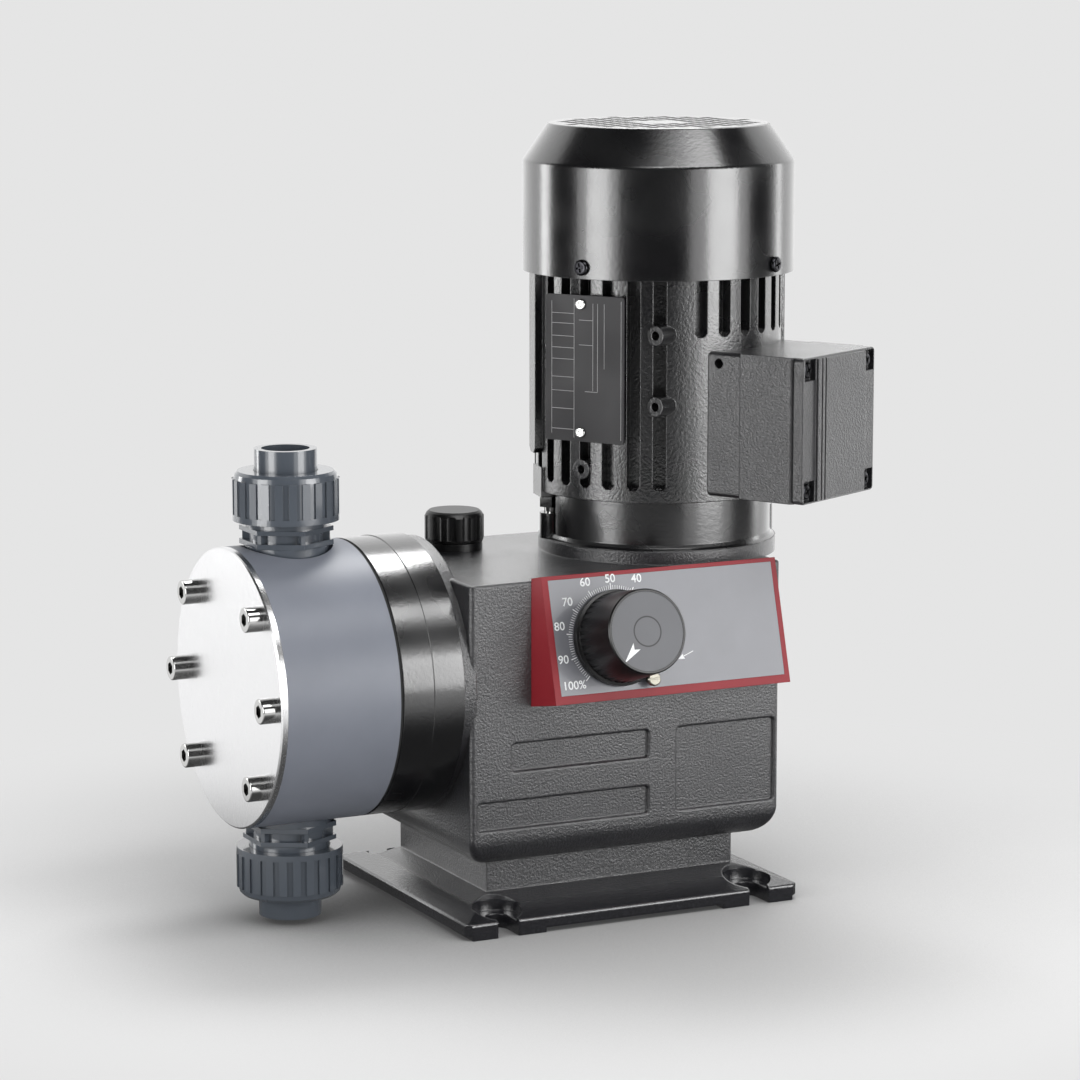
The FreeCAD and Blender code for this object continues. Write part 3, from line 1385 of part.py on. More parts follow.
def make_gears():
    """The worm wheel and its worm: the wheel's teeth lean by the worm's lead and are slightly convex."""
    module = number(d.gear_module)
    teeth = int(number(d.wheel_teeth))
    pitch_radius = module * teeth / 2
    worm_radius = number(d.worm_pitch_radius)
    lead = math.pi * module
    lead_angle = math.atan2(lead, 2 * math.pi * worm_radius)
    backlash = number(d.gear_backlash)
    relief = number(d.gear_relief)
    slope = math.tan(math.radians(20))

    # Wheel: one tooth gap swept with a slight twist, cut from a blank and repeated.
    half_width = number(d.wheel_half_width)
    tip = pitch_radius + module
    root = pitch_radius - module - number(d.tip_clearance)
    blank = Part.makeCylinder(tip, 2 * half_width, Vector(0, 0, -half_width))
    gap_half = lead / 4 + backlash / 4
    twist = math.tan(lead_angle) * half_width / pitch_radius

    def gap_wire(height, turn):
        """The outline of a tooth gap at one height, turned about the wheel's axis."""
        beyond = tip + 0.6
        flank = [
            (root, gap_half - (pitch_radius - root) * slope + relief),
            (pitch_radius, gap_half),
            (beyond, gap_half + (beyond - pitch_radius) * slope + relief),
        ]
        points = [Vector(x, -y, height) for x, y in flank] + [
            Vector(x, y, height) for x, y in reversed(flank)
        ]
        wire = Part.makePolygon(points + [points[0]])
        wire.rotate(Vector(0, 0, 0), Z_AXIS, math.degrees(turn))
        return wire

    over = 0.5
    reach = twist * (half_width + over) / half_width
    gap = Part.makeLoft(
        [gap_wire(-half_width - over, -reach), gap_wire(half_width + over, reach)], True, True
    )
    gaps = []
    for k in range(teeth):
        copy = gap.copy()
        copy.rotate(Vector(0, 0, 0), Z_AXIS, 360 / teeth * k)
        gaps.append(copy)
    toothed = blank.cut(gaps)
    bore = Part.makeCylinder(number(d.shaft_radius), 40, Vector(0, 0, -20))
    hub = Part.makeCylinder(
        number(d.shaft_radius) + 5, 2 * number(d.fork_inner) - 2, Vector(0, 0, 1 - number(d.fork_inner))
    )
    wheel = doc.addObject("Part::Feature", "worm_wheel")
    wheel.Label = "worm_wheel"
    wheel.Shape = toothed.fuse(hub).cut(bore).removeSplitter()
    wheel.Placement = Placement(Vector(*[number(c) for c in shaft_centre]), Rotation(*ALONG_Y))
    pieces.append(wheel)

    # Worm: a core with one thread wound round it, bored for the shaft.
    length = number(d.worm_length)
    core_radius = worm_radius - module - number(d.tip_clearance)
    tip_radius = worm_radius + module
    thread_half = lead / 4 - backlash / 4
    turns = length / lead
    helix = Part.makeHelix(lead, length - lead, worm_radius)
    foot = core_radius - 0.3
    low_half = thread_half + (worm_radius - foot) * slope
    high_half = thread_half - module * slope
    section = Part.makePolygon([
        Vector(foot, 0, -low_half),
        Vector(tip_radius, 0, -high_half),
        Vector(tip_radius, 0, high_half),
        Vector(foot, 0, low_half),
        Vector(foot, 0, -low_half),
    ])
    thread = Part.Wire(helix.Edges).makePipeShell([section], True, True)
    thread.translate(Vector(0, 0, lead / 2))
    core = Part.makeCylinder(core_radius, length)
    ground = core.fuse(thread)
    ground = ground.cut(Part.makeCylinder(number(d.worm_shaft_radius), length + 2, Vector(0, 0, -1)))
    worm = doc.addObject("Part::Feature", "worm")
    worm.Label = "worm"
    worm.Shape = ground.removeSplitter()
    bottom = number(d.head_axis_height) - length / 2
    # On the side of the wheel, a thread stands in the gap that is level with the wheel's axis.
    phase = 360 * (1 - (length / 2 / lead) % 1)
    worm.Placement = Placement(Vector(number(d.motor_x), 0, bottom), Rotation(Z_AXIS, phase))
    pieces.append(worm)


def make_motor():
    """The motor from its flange to its cowl, with the rotor inside."""
    flange = Piece("motor_flange", motor_centre)
    spigot_low = d.pad_top - d.flange_spigot_length
    bearing_top = d.drive_bearing_bottom + d.bearing_width
    seal_bottom = d.drive_bearing_bottom - 6
    flange.revolve([
        (d.rotor_shaft_radius + 2, spigot_low),
        (d.flange_spigot_radius - 0.05, spigot_low),
        (d.flange_spigot_radius - 0.05, d.pad_top),
        (d.flange_radius + d.flange_skirt - 0.4, d.pad_top),
        (d.flange_radius + 0.8, d.pad_top + 1.2),
        (d.flange_radius, d.pad_top + d.flange_skirt),
        (d.flange_radius, d.flange_top),
        (d.stator_bore_radius - 0.05, d.flange_top),
        (d.stator_bore_radius - 0.05, d.flange_top + 4),
        (d.stator_bore_radius - 6, d.flange_top + 4),
        (d.stator_bore_radius - 8, bearing_top),
        (d.bearing_radius, bearing_top),
        (d.bearing_radius, d.drive_bearing_bottom),
        (d.bearing_radius - 3, d.drive_bearing_bottom),
        (d.bearing_radius - 3, seal_bottom),
        (d.rotor_shaft_radius + 2, seal_bottom),
    ])
    bolts = []
    for turn in (0, 180):
        bolts.append((d.lug_radius * cosine(d.lug_angle + turn), d.lug_radius * sine(d.lug_angle + turn)))
    scallops = []
    for turn in (0, 180):
        reach = d.scallop_centre
        scallops.append((reach * cosine(d.lug_angle + turn), reach * sine(d.lug_angle + turn)))
    flange.pocket(flange.circles("XY_Plane", scallops, d.scallop_radius, d.scallop_floor), 40, True)
    flange.pad(flange.circles("XY_Plane", bolts, d.post_radius, d.pad_top), post_top - d.pad_top)
    flange.pocket(flange.circles("XY_Plane", bolts, d.motor_bolt_radius, post_top), d.motor_bolt_sink)

    stator = Piece("stator_housing", motor_centre)
    stator.revolve(ring_profile(d.stator_bore_radius, d.stator_radius, d.flange_top, stator_top))
    half, floor = d.fin_slot_width / 2, d.fin_slot_floor
    reach_over = d.stator_radius + 3

    def across(angle, low, high, side):
        """A rectangle in plan that lies square to a direction, between two reaches."""
        corners = []
        for reach, offset in ((low, -side), (high, -side), (high, side), (low, side)):
            corners.append(
                (reach * cosine(angle) - offset * sine(angle), reach * sine(angle) + offset * cosine(angle))
            )
        return corners

    # Fin slots, each a groove with a bevelled lower end that runs out at the top.
    slant = d.fin_slot_bevel
    fins_bottom = d.flange_top + d.fin_slot_rise
    shorts_bottom = stator_top - d.short_slot_length
    for bottom, angle, count, backwards in (
        (fins_bottom, d.fin_first_angle, d.fin_slots, True),
        (shorts_bottom, d.short_first_angle, d.short_slots, False),
    ):
        outline = [
            (-half, stator_top + 1),
            (-half, bottom + slant),
            (slant - half, bottom),
            (half - slant, bottom),
            (half, bottom + slant),
            (half, stator_top + 1),
        ]
        face = stator.turn_outwards(stator.polygons("YZ_Plane", [outline]), angle, reach_over)
        cut = stator.pocket(face, reach_over - floor)
        stator.around([cut], count, d.fin_slot_pitch * (count - 1), backwards)

    # Two lugs take the motor bolts, and a rib runs up the wall above each of them.
    stud_top = lug_bottom + d.motor_bolt_sink
    rib_bottom = lug_top + d.lug_rib_gap
    rib_side = d.lug_rib_half_width
    rib = [
        (-rib_side, stator_top),
        (-rib_side, rib_bottom + rib_side / 2),
        (-rib_side / 2, rib_bottom),
        (rib_side / 2, rib_bottom),
        (rib_side, rib_bottom + rib_side / 2),
        (rib_side, stator_top),
    ]
    for turn in (0, 180):
        angle = d.lug_angle + turn
        lug = across(angle, d.lug_root, d.lug_reach, d.lug_half_width)
        stator.pad(stator.polygons("XY_Plane", [lug], lug_bottom), lug_top - lug_bottom)
        face = stator.turn_outwards(stator.polygons("YZ_Plane", [rib]), angle, d.lug_rib_reach)
        stator.pad(face, d.lug_rib_reach - d.lug_root, True)
    stator.pocket(stator.circles("XY_Plane", bolts, d.motor_bolt_radius, stud_top), d.motor_bolt_sink)

    # Tapped bosses: two beside the nameplate face one way, the third stands square on the wall low down.
    upper = [(d.boss_offset, stator_top - drop) for drop in (d.boss_high_drop, d.boss_low_drop)]
    lower = [(0, d.flange_top + d.foot_boss_rise)]
    for angle, reach, places in (
        (d.boss_angle, d.boss_reach, upper),
        (d.foot_boss_angle, d.foot_boss_reach, lower),
    ):
        boss = stator.circles("YZ_Plane", places, d.boss_radius)
        stator.pad(stator.turn_outwards(boss, angle, reach), d.boss_length, True)
        thread = stator.circles("YZ_Plane", places, d.boss_hole_radius)
        stator.pocket(stator.turn_outwards(thread, angle, reach), d.boss_hole_depth)
    inward = d.stator_radius - d.stator_bore_radius - 1
    plate_screws = [
        (d.nameplate_offset, nameplate_top - d.nameplate_screw_inset),
        (d.nameplate_offset, nameplate_bottom + d.nameplate_screw_inset),
    ]
    posts = stator.circles("YZ_Plane", plate_screws, d.nameplate_screw_radius + 1.5)
    stator.pad(stator.turn_outwards(posts, d.nameplate_angle, d.nameplate_distance), inward, True)
    screw_hole = stator.circles("YZ_Plane", plate_screws, d.nameplate_screw_radius / 2)
    stator.pocket(stator.turn_outwards(screw_hole, d.nameplate_angle, d.nameplate_distance), 6)
    wires = stator.circles("YZ_Plane", [(0, (box_bottom + box_top) / 2)], d.wire_hole_radius)
    stator.pocket(stator.turn_outwards(wires, d.box_angle, d.stator_radius + 1), 16)

    plate = Piece("nameplate", motor_centre)
    half_plate = d.nameplate_width / 2
    outline = rectangle(-half_plate, half_plate, nameplate_bottom, nameplate_top)
    face = plate.turn_outwards(plate.polygons("YZ_Plane", [outline]), d.nameplate_angle, d.nameplate_distance)
    plate.pad(face, d.nameplate_thickness)
    front = d.nameplate_distance + d.nameplate_thickness
    holes = plate.circles("YZ_Plane", plate_screws, d.nameplate_screw_radius / 2)
    plate.pocket(plate.turn_outwards(holes, d.nameplate_angle, front), d.nameplate_thickness)

    screws = Piece("nameplate_screws", motor_centre)
    heads = screws.circles("YZ_Plane", plate_screws, d.nameplate_screw_radius)
    screws.pad(screws.turn_outwards(heads, d.nameplate_angle, front), 1.4)
    shanks = screws.circles("YZ_Plane", plate_screws, d.nameplate_screw_radius / 2)
    screws.pad(screws.turn_outwards(shanks, d.nameplate_angle, front), 6, True)

    fasteners = Piece("motor_bolts", motor_centre)
    nut_low = lug_bottom - d.motor_nut_height
    nuts = [hexagon(d.motor_nut_flats, point) for point in bolts]
    fasteners.pad(fasteners.polygons("XY_Plane", nuts, nut_low), d.motor_nut_height)
    studs = fasteners.circles("XY_Plane", bolts, d.motor_bolt_radius, post_top - d.motor_bolt_sink)
    fasteners.pad(studs, stud_top - post_top + d.motor_bolt_sink)


def make_motor_top():
    """The end shield, the fan cowl with its grille and screws, and what turns inside the motor."""
    shield = Piece("motor_end_shield", motor_centre)
    low, high = stator_top - d.end_shield_spigot, end_shield_top
    rim = d.stator_bore_radius - 0.05
    hub = d.bearing_radius + 4
    shield.revolve([
        (d.rotor_shaft_radius + 2, high - 3),
        (d.bearing_radius, high - 3),
        (d.bearing_radius, high - 3 - d.bearing_width),
        (hub, high - 3 - d.bearing_width),
        (hub, high - 6),
        (rim - 5, high - 6),
        (rim - 5, low),
        (rim, low),
        (rim, stator_top),
        (d.end_shield_radius, stator_top),
        (d.end_shield_radius, high),
        (d.rotor_shaft_radius + 2, high),
    ])
    thread = shield.circles("YZ_Plane", [(0, cowl_screw_height)], d.cowl_screw_radius - 0.05)
    drilled = shield.pocket(shield.turn_outwards(thread, d.cowl_screw_angle, d.end_shield_radius + 1), 9)
    shield.around([drilled], 4)

    cowl = Piece("cowl_shell", motor_centre, kept=False)
    wall = d.cowl_thickness
    top_inside = cowl_top - wall
    cowl.revolve([
        (d.cowl_radius - wall, cowl_bottom),
        (d.cowl_radius, cowl_bottom),
        (d.cowl_radius, cowl_shoulder),
        (d.cowl_top_radius, cowl_top),
        (0, cowl_top),
        (0, top_inside),
        (d.cowl_top_radius - wall / 2, top_inside),
        (d.cowl_radius - wall, cowl_shoulder - wall / 2),
    ])

    def shoulder(edge):
        """The bend between the cowl's wall and its cone."""
        return of_radius(edge, d.cowl_radius) and at_height(edge, cowl_shoulder)

    def crown(edge):
        """The bend between the cowl's cone and its top."""
        return of_radius(edge, d.cowl_top_radius) and at_height(edge, cowl_top)

    cowl.soften(d.cowl_shoulder_radius, shoulder)
    cowl.soften(d.cowl_crown_radius, crown)
    hole = cowl.circles("YZ_Plane", [(0, cowl_screw_height)], d.cowl_screw_radius + d.hole_clearance)
    through = cowl.pocket(cowl.turn_outwards(hole, d.cowl_screw_angle, d.cowl_radius + 1), 6)
    cowl.around([through], 4)

    # Square holes on a grid, kept between a solid middle and a solid border.
    pitch, width = number(d.grille_pitch), number(d.grille_hole)
    inner, outer = number(d.grille_inner_radius), number(d.grille_outer_radius)
    count = int(outer / pitch) + 1
    punches = []
    for i in range(-count, count + 1):
        for j in range(-count, count + 1):
            reach = math.hypot(i * pitch, j * pitch)
            if inner < reach < outer:
                corner = Vector(i * pitch - width / 2, j * pitch - width / 2, number(top_inside) - 1)
                punches.append(Part.makeBox(width, width, number(wall) + 2, corner))
    grid = doc.addObject("Part::Feature", "grille_punch")
    grid.Shape = Part.makeCompound(punches)
    grid.Placement = Placement(Vector(number(d.motor_x), 0, 0), Rotation(Z_AXIS, 0))
    punched = doc.addObject("Part::Cut", "fan_cowl")
    punched.Label = "fan_cowl"
    punched.Base = cowl.body
    punched.Tool = grid
    pieces.append(punched)

    screws = Piece("cowl_screws", motor_centre)
    head = screws.circles("YZ_Plane", [(0, cowl_screw_height)], d.cowl_screw_head_radius)
    button = screws.pad(
        screws.turn_outwards(head, d.cowl_screw_angle, d.cowl_radius), d.cowl_screw_head_height
    )
    shank = screws.circles("YZ_Plane", [(0, cowl_screw_height)], d.cowl_screw_radius - 0.05)
    stem = screws.pad(screws.turn_outwards(shank, d.cowl_screw_angle, d.cowl_radius), 9, True)
    screws.around([button, stem], 4)

    shaft = Piece("rotor_shaft", motor_centre)
    worm_top = d.head_axis_height + d.worm_length / 2
    drive_top = d.drive_bearing_bottom + d.bearing_width
    shaft.revolve([
        (0, d.worm_bearing_bottom),
        (d.worm_shaft_radius - 0.01, d.worm_bearing_bottom),
        (d.worm_shaft_radius - 0.01, worm_top),
        (d.rotor_shaft_radius, worm_top),
        (d.rotor_shaft_radius, drive_top),
        (d.rotor_core_shaft_radius, drive_top),
        (d.rotor_core_shaft_radius, high - 3 - d.bearing_width),
        (d.rotor_shaft_radius, high - 3 - d.bearing_width),
        (d.rotor_shaft_radius, shaft_top),
        (0, shaft_top),
    ])
    core = Piece("rotor_core", motor_centre)
    core.revolve(ring_profile(d.rotor_core_shaft_radius, d.rotor_radius, rotor_bottom, rotor_top))
    winding = Piece("stator_core", motor_centre)
    bore = d.rotor_radius + d.air_gap
    winding.revolve([
        (bore, rotor_bottom),
        (d.stator_bore_radius, rotor_bottom),
        (d.stator_bore_radius, rotor_top),
        (d.stator_bore_radius - 3, rotor_top),
        (d.stator_bore_radius - 3, rotor_top + 12),
        (bore + 4, rotor_top + 12),
        (bore + 4, rotor_top),
        (bore, rotor_top),
    ])
    bearings = Piece("motor_bearings", motor_centre)
    inner_fit = d.rotor_shaft_radius + d.running_fit
    bearings.revolve(
        ring_profile(inner_fit, d.bearing_radius, d.drive_bearing_bottom, drive_top),
        ring_profile(inner_fit, d.bearing_radius, high - 3 - d.bearing_width, high - 3),
        ring_profile(
            d.worm_shaft_radius + d.running_fit,
            d.worm_bearing_radius,
            d.worm_bearing_bottom,
            d.worm_bearing_bottom + d.worm_bearing_width,
        ),
    )
    seal = Piece("shaft_seal", motor_centre)
    seal.revolve(
        ring_profile(inner_fit, d.bearing_radius - 3, d.drive_bearing_bottom - 6, d.drive_bearing_bottom)
    )

    fan = Piece("fan", motor_centre)
    fan.revolve([
        (d.rotor_shaft_radius, fan_bottom),
        (d.fan_radius, fan_bottom),
        (d.fan_radius, fan_bottom + 2),
        (d.fan_hub_radius, fan_bottom + 2),
        (d.fan_hub_radius, shaft_top),
        (d.rotor_shaft_radius, shaft_top),
    ])
    blade = fan.polygons(
        "XY_Plane",
        [rectangle(d.fan_hub_radius - 1, d.fan_radius, -d.fan_blade / 2, d.fan_blade / 2)],
        fan_bottom + 1,
    )
    vane = fan.pad(blade, d.fan_height)
    fan.around([vane], d.fan_blades)


def make_terminal_box():
    """The terminal box on the motor's side, built outwards along its own X axis."""
    half, low, high = d.box_half_width, box_bottom, box_top
    middle = (low + high) / 2
    wall = d.box_wall
    inset = d.lid_screw_inset
    posts = []
    for side in (inset - half, half - inset):
        for height in (low + inset, high - inset):
            posts.append((side, height))

    def along_box(edge):
        """The four edges that run outwards at the corners of the box."""
        box = edge.BoundBox
        at_side = abs(abs(box.Center.y) - number(half)) < 0.01
        at_end = min(abs(box.Center.z - number(low)), abs(box.Center.z - number(high))) < 0.01
        return at_side and at_end and box.ZLength < 0.01 and box.XLength > 2

    base = Piece("terminal_box_base", motor_centre, box_turn)
    base.pad(
        base.polygons("YZ_Plane", [rectangle(-half, half, low, high)], d.box_root), d.box_seam - d.box_root
    )
    base.soften(d.box_corner, along_box)
    base.groove(ring_profile(0, d.stator_radius, low - 5, high + 5))
    base.pocket(
        base.circles("YZ_Plane", [(0, middle)], d.wire_hole_radius, d.box_seam), d.box_seam - d.box_root
    )
    earth = base.circles("XZ_Plane", [(d.earth_hole_x, high - d.earth_hole_drop)], d.earth_hole_radius, half)
    base.pocket(earth, d.earth_hole_depth)

    frame = Piece("terminal_box_frame", motor_centre, box_turn)
    depth = d.box_rim - d.box_seam
    frame.pad(frame.polygons("YZ_Plane", [rectangle(-half, half, low, high)], d.box_seam), depth)

    def upright_rim(edge):
        """The two upright edges of the frame beside the cover."""
        box = edge.BoundBox
        return box.XMin > number(d.box_rim) - 0.01 and box.YLength < 0.01

    frame.soften(d.box_rim_radius, upright_rim)
    inside = rectangle(wall - half, half - wall, low + wall, high - wall)
    frame.pocket(frame.polygons("YZ_Plane", [inside], d.box_rim), depth)
    frame.pad(frame.circles("YZ_Plane", posts, d.lid_post_radius, d.box_seam), depth)
    frame.pocket(frame.circles("YZ_Plane", posts, d.lid_screw_radius, d.box_rim), 14)
    entry = frame.circles("XZ_Plane", [(d.cable_entry_x, middle)], d.cable_entry_radius, -half)
    frame.pocket(entry, wall, True)

    # The cover has a raised middle with two grooves, and a pocket at each corner for a sunk screw head.
    lid = Piece("terminal_cover", motor_centre, box_turn)
    lid.pad(lid.polygons("YZ_Plane", [rectangle(-half, half, low, high)], d.box_rim), d.lid_thickness)
    lid.soften(d.box_corner, along_box)
    front = d.box_rim + d.lid_thickness
    lid.soften(d.lid_edge_radius, lambda edge: edge.BoundBox.XMin > number(front) - 0.01)
    panel_left, panel_right = d.lid_panel_left - half, half - d.lid_panel_right
    panel = rectangle(panel_left, panel_right, low + d.lid_edge_radius, high - d.lid_edge_radius)
    lid.pad(lid.polygons("YZ_Plane", [panel], front), d.lid_panel_rise)
    top = front + d.lid_panel_rise
    lid.soften(d.lid_panel_rise / 2, lambda edge: edge.BoundBox.XMin > number(top) - 0.01)
    grooves = []
    for shift in (d.lid_groove_inset, d.lid_groove_inset + d.lid_groove_pitch):
        left = panel_left + shift
        grooves.append(rectangle(left, left + d.lid_groove_width, low - 1, high + 1))
    lid.pocket(lid.polygons("YZ_Plane", grooves, top), d.lid_groove_depth)
    pockets = []
    for side, height in posts:
        wide, tall = d.lid_pocket_width / 2, d.lid_pocket_height / 2
        pockets.append(rectangle(side - wide, side + wide, height - tall, height + tall))
    lid.pocket(lid.polygons("YZ_Plane", pockets, top), d.lid_pocket_depth + d.lid_panel_rise)
    seat = front - d.lid_pocket_depth
    lid.pocket(lid.circles("YZ_Plane", posts, d.lid_screw_radius + d.hole_clearance, seat), d.lid_thickness)

    screws = Piece("terminal_cover_screws", motor_centre, box_turn)
    screws.pad(screws.circles("YZ_Plane", posts, d.lid_screw_head_radius, seat), d.lid_screw_head_height)
    screws.pad(screws.circles("YZ_Plane", posts, d.lid_screw_radius - 0.05, seat), 16, True)

    board = Piece("terminal_board", motor_centre, box_turn)
    reach, rise = d.board_half_width, d.board_half_height
    outline = rectangle(-reach, reach, middle - rise, middle + rise)
    board.pad(board.polygons("YZ_Plane", [outline], d.box_seam), d.board_thickness)
    studs = []
    for side in (-1, 0, 1):
        for level in (-1, 1):
            studs.append((side * reach * 0.65, middle + level * rise * 0.5))
    board.pad(board.circles("YZ_Plane", studs, d.stud_radius, d.box_seam + d.board_thickness), d.stud_height)
    board.pocket(board.circles("YZ_Plane", [(0, middle)], d.stud_radius, d.box_seam + d.board_thickness), d.board_thickness)


def save_pieces():
    """Check every object and write each sub-part's solids."""
    doc.recompute()
    for thing in doc.Objects:
        faults = [word for word in thing.State if word in ("Invalid", "Error")]
        if faults:
            raise RuntimeError(f"{thing.Label} did not rebuild: {faults}")
    for piece in pieces:
        shape = piece.Shape
        if shape.isNull() or not shape.isValid():
            raise RuntimeError(f"{piece.Label} has no valid shape")
    for piece in pieces:
        piece.Shape.exportStep(f"parts/{piece.Label}.step")


make_housing()
make_head()
make_valve("discharge", 1)
make_valve("suction", -1)
make_vent()
make_control()
make_drive()
make_gears()
make_motor()
make_motor_top()
make_terminal_box()
save_pieces()
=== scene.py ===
"""Looks, light and camera of a motor-driven diaphragm metering pump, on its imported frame."""

import json
import logging
import math
from dataclasses import dataclass, field
from enum import Enum

import bpy
from mathutils import Matrix, Vector


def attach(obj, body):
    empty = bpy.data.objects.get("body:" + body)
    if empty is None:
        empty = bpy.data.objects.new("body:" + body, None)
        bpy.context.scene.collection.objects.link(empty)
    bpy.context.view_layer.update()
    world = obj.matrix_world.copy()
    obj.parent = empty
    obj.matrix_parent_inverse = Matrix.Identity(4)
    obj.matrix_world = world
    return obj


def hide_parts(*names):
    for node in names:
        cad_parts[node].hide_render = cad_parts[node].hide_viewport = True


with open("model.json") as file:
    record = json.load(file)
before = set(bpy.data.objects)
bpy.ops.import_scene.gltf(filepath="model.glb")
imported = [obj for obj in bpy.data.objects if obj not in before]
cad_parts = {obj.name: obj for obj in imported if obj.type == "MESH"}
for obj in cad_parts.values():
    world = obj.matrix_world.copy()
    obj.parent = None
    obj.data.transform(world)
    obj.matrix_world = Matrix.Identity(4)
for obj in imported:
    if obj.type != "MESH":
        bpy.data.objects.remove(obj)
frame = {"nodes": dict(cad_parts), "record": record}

logging.basicConfig(level=logging.INFO, format="%(message)s")
log = logging.getLogger("pump")

Point = tuple[float, float]
Span = tuple[float, float]
Triple = tuple[float, float, float]
Colour = tuple[float, float, float, float]
Tree = bpy.types.NodeTree
Socket = bpy.types.NodeSocket
Piece = bpy.types.Object

# Places on the part are in millimetres and angles in degrees. The scene itself is in metres.
MM = 0.001
KNOB_CENTRE: Triple = (-12.0, -84.0, 151.5)
PANEL_TILT = 15.6
MOTOR_X = 55.7

UNIT: Span = (0.0, 1.0)
WHITE: Colour = (1.0, 1.0, 1.0, 1.0)


class Body(Enum):
    """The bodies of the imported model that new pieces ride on."""

    HOUSING = "housing"
    KNOB = "knob"


class Ray(Enum):
    """Kinds of ray that see the pale studio instead of the working light."""

    CAMERA = "Is Camera Ray"
    GLOSSY = "Is Glossy Ray"
    TRANSMISSION = "Is Transmission Ray"


class Blend(Enum):
    """What a Mix node blends: its data type, the first of its two sockets, and its output."""

    NUMBER = ("FLOAT", 2, 0)
    COLOUR = ("RGBA", 6, 2)


class Curve(Enum):
    """How a Map Range node leads from one end to the other."""

    STRAIGHT = "LINEAR"
    SMOOTH = "SMOOTHSTEP"


def linear(code: str) -> Colour:
    """Turns an sRGB hex colour into linear RGBA.

    Args:
        code: the colour as six hex digits after a hash.

    Returns:
        Linear red, green and blue, and full opacity.
    """
    parts = [int(code[place:place + 2], 16) / 255 for place in (1, 3, 5)]
    red, green, blue = (v / 12.92 if v <= 0.04045 else ((v + 0.055) / 1.055) ** 2.4 for v in parts)
    return red, green, blue, 1.0


def shades(code: str, share: float) -> tuple[Colour, Colour]:
    """Gives a darker and a paler tone of a colour.

    Args:
        code: the colour in sRGB hex.
        share: how far the two tones lie from it.

    Returns:
        The darker tone and the paler one, linear.
    """
    base = Vector(linear(code)[:3])
    return (*(base * (1 - share)), 1.0), (*(base * (1 + share)), 1.0)


def grey(level: float) -> Colour:
    """Gives a linear grey."""
    return level, level, level, 1.0


def clean_tree(owner: bpy.types.Material | bpy.types.World) -> Tree:
    """Switches a material's or a world's nodes on and empties its tree."""
    owner.use_nodes = True
    owner.node_tree.nodes.clear()
    return owner.node_tree


def add(tree: Tree, kind: str, inputs: dict | None = None, **settings) -> bpy.types.Node:
    """Adds one shader node with its settings, values and links.

    Args:
        tree: the node tree that gets the node.
        kind: the node's type.
        inputs: a value or another node's socket for each input, by name or number.
        settings: the node's own properties.

    Returns:
        The new node.
    """
    made = tree.nodes.new(kind)
    for name, value in settings.items():
        setattr(made, name, value)
    for key, value in (inputs or {}).items():
        if isinstance(value, Socket):
            tree.links.new(value, made.inputs[key])
        else:
            made.inputs[key].default_value = value
    return made


def noise(tree: Tree, place: Socket, size: float, detail: float = 2.0, roughness: float = 0.5) -> Socket:
    """Adds a noise pattern.

    Args:
        tree: the node tree.
        place: the coordinates.
        size: the size of its grains, in millimetres.
        detail: how many finer layers it has.
        roughness: how strong those layers are.

    Returns:
        The pattern's value.
    """
    return add(tree, "ShaderNodeTexNoise", {
        "Vector": place, "Scale": 1 / (size * MM), "Detail": detail, "Roughness": roughness,
    }).outputs["Fac"]


def spread(
    tree: Tree, value: Socket, source: Span = UNIT, target: Span = UNIT, curve: Curve = Curve.STRAIGHT,
) -> Socket:
    """Adds a map from one range of values to another, clamped at both ends.

    Args:
        tree: the node tree.
        value: the value to map.
        source: the range it is taken from.
        target: the range it is brought to.
        curve: the way between the ends.

    Returns:
        The mapped value.
    """
    return add(tree, "ShaderNodeMapRange", {
        "Value": value,
        "From Min": source[0], "From Max": source[1],
        "To Min": target[0], "To Max": target[1],
    }, interpolation_type=curve.value).outputs["Result"]


def compute(tree: Tree, operation: str, *values: Socket | float) -> Socket:
    """Adds one operation on numbers.

    Args:
        tree: the node tree.
        operation: its name in the Math node.
        values: one or two numbers or sockets.

    Returns:
        The result.
    """
    return add(tree, "ShaderNodeMath", dict(enumerate(values)), operation=operation).outputs[0]


def blend(
    tree: Tree, kind: Blend, share: Socket, first: Socket | Colour | float, second: Socket | Colour | float,
) -> Socket:
    """Adds a blend of two numbers or two colours.

    Args:
        tree: the node tree.
        kind: what is blended.
        share: the second one's share.
        first: the number or colour at share 0.
        second: the number or colour at share 1.

    Returns:
        The blend.
    """
    data_type, socket, output = kind.value
    inputs = {0: share, socket: first, socket + 1: second}
    return add(tree, "ShaderNodeMix", inputs, data_type=data_type).outputs[output]


def relief(
    tree: Tree, height: Socket, depth: float, edge: float, samples: int = 4, strength: Socket | float = 1.0,
) -> Socket:
    """Adds bump over edges that look rounded.

    Args:
        tree: the node tree.
        height: the pattern of the bump.
        depth: its depth, in millimetres.
        edge: the radius at the edges, in millimetres.
        samples: how finely the edges are sampled.
        strength: how much of the bump shows.

    Returns:
        The normal.
    """
    rounded = add(tree, "ShaderNodeBevel", {"Radius": edge * MM}, samples=samples).outputs["Normal"]
    return add(tree, "ShaderNodeBump", {
        "Strength": strength, "Distance": depth * MM, "Height": height, "Normal": rounded,
    }).outputs["Normal"]


def glow(tree: Tree, strength: Socket | float) -> Socket:
    """Adds a white emission of a given strength."""
    return add(tree, "ShaderNodeEmission", {"Color": WHITE, "Strength": strength}).outputs[0]


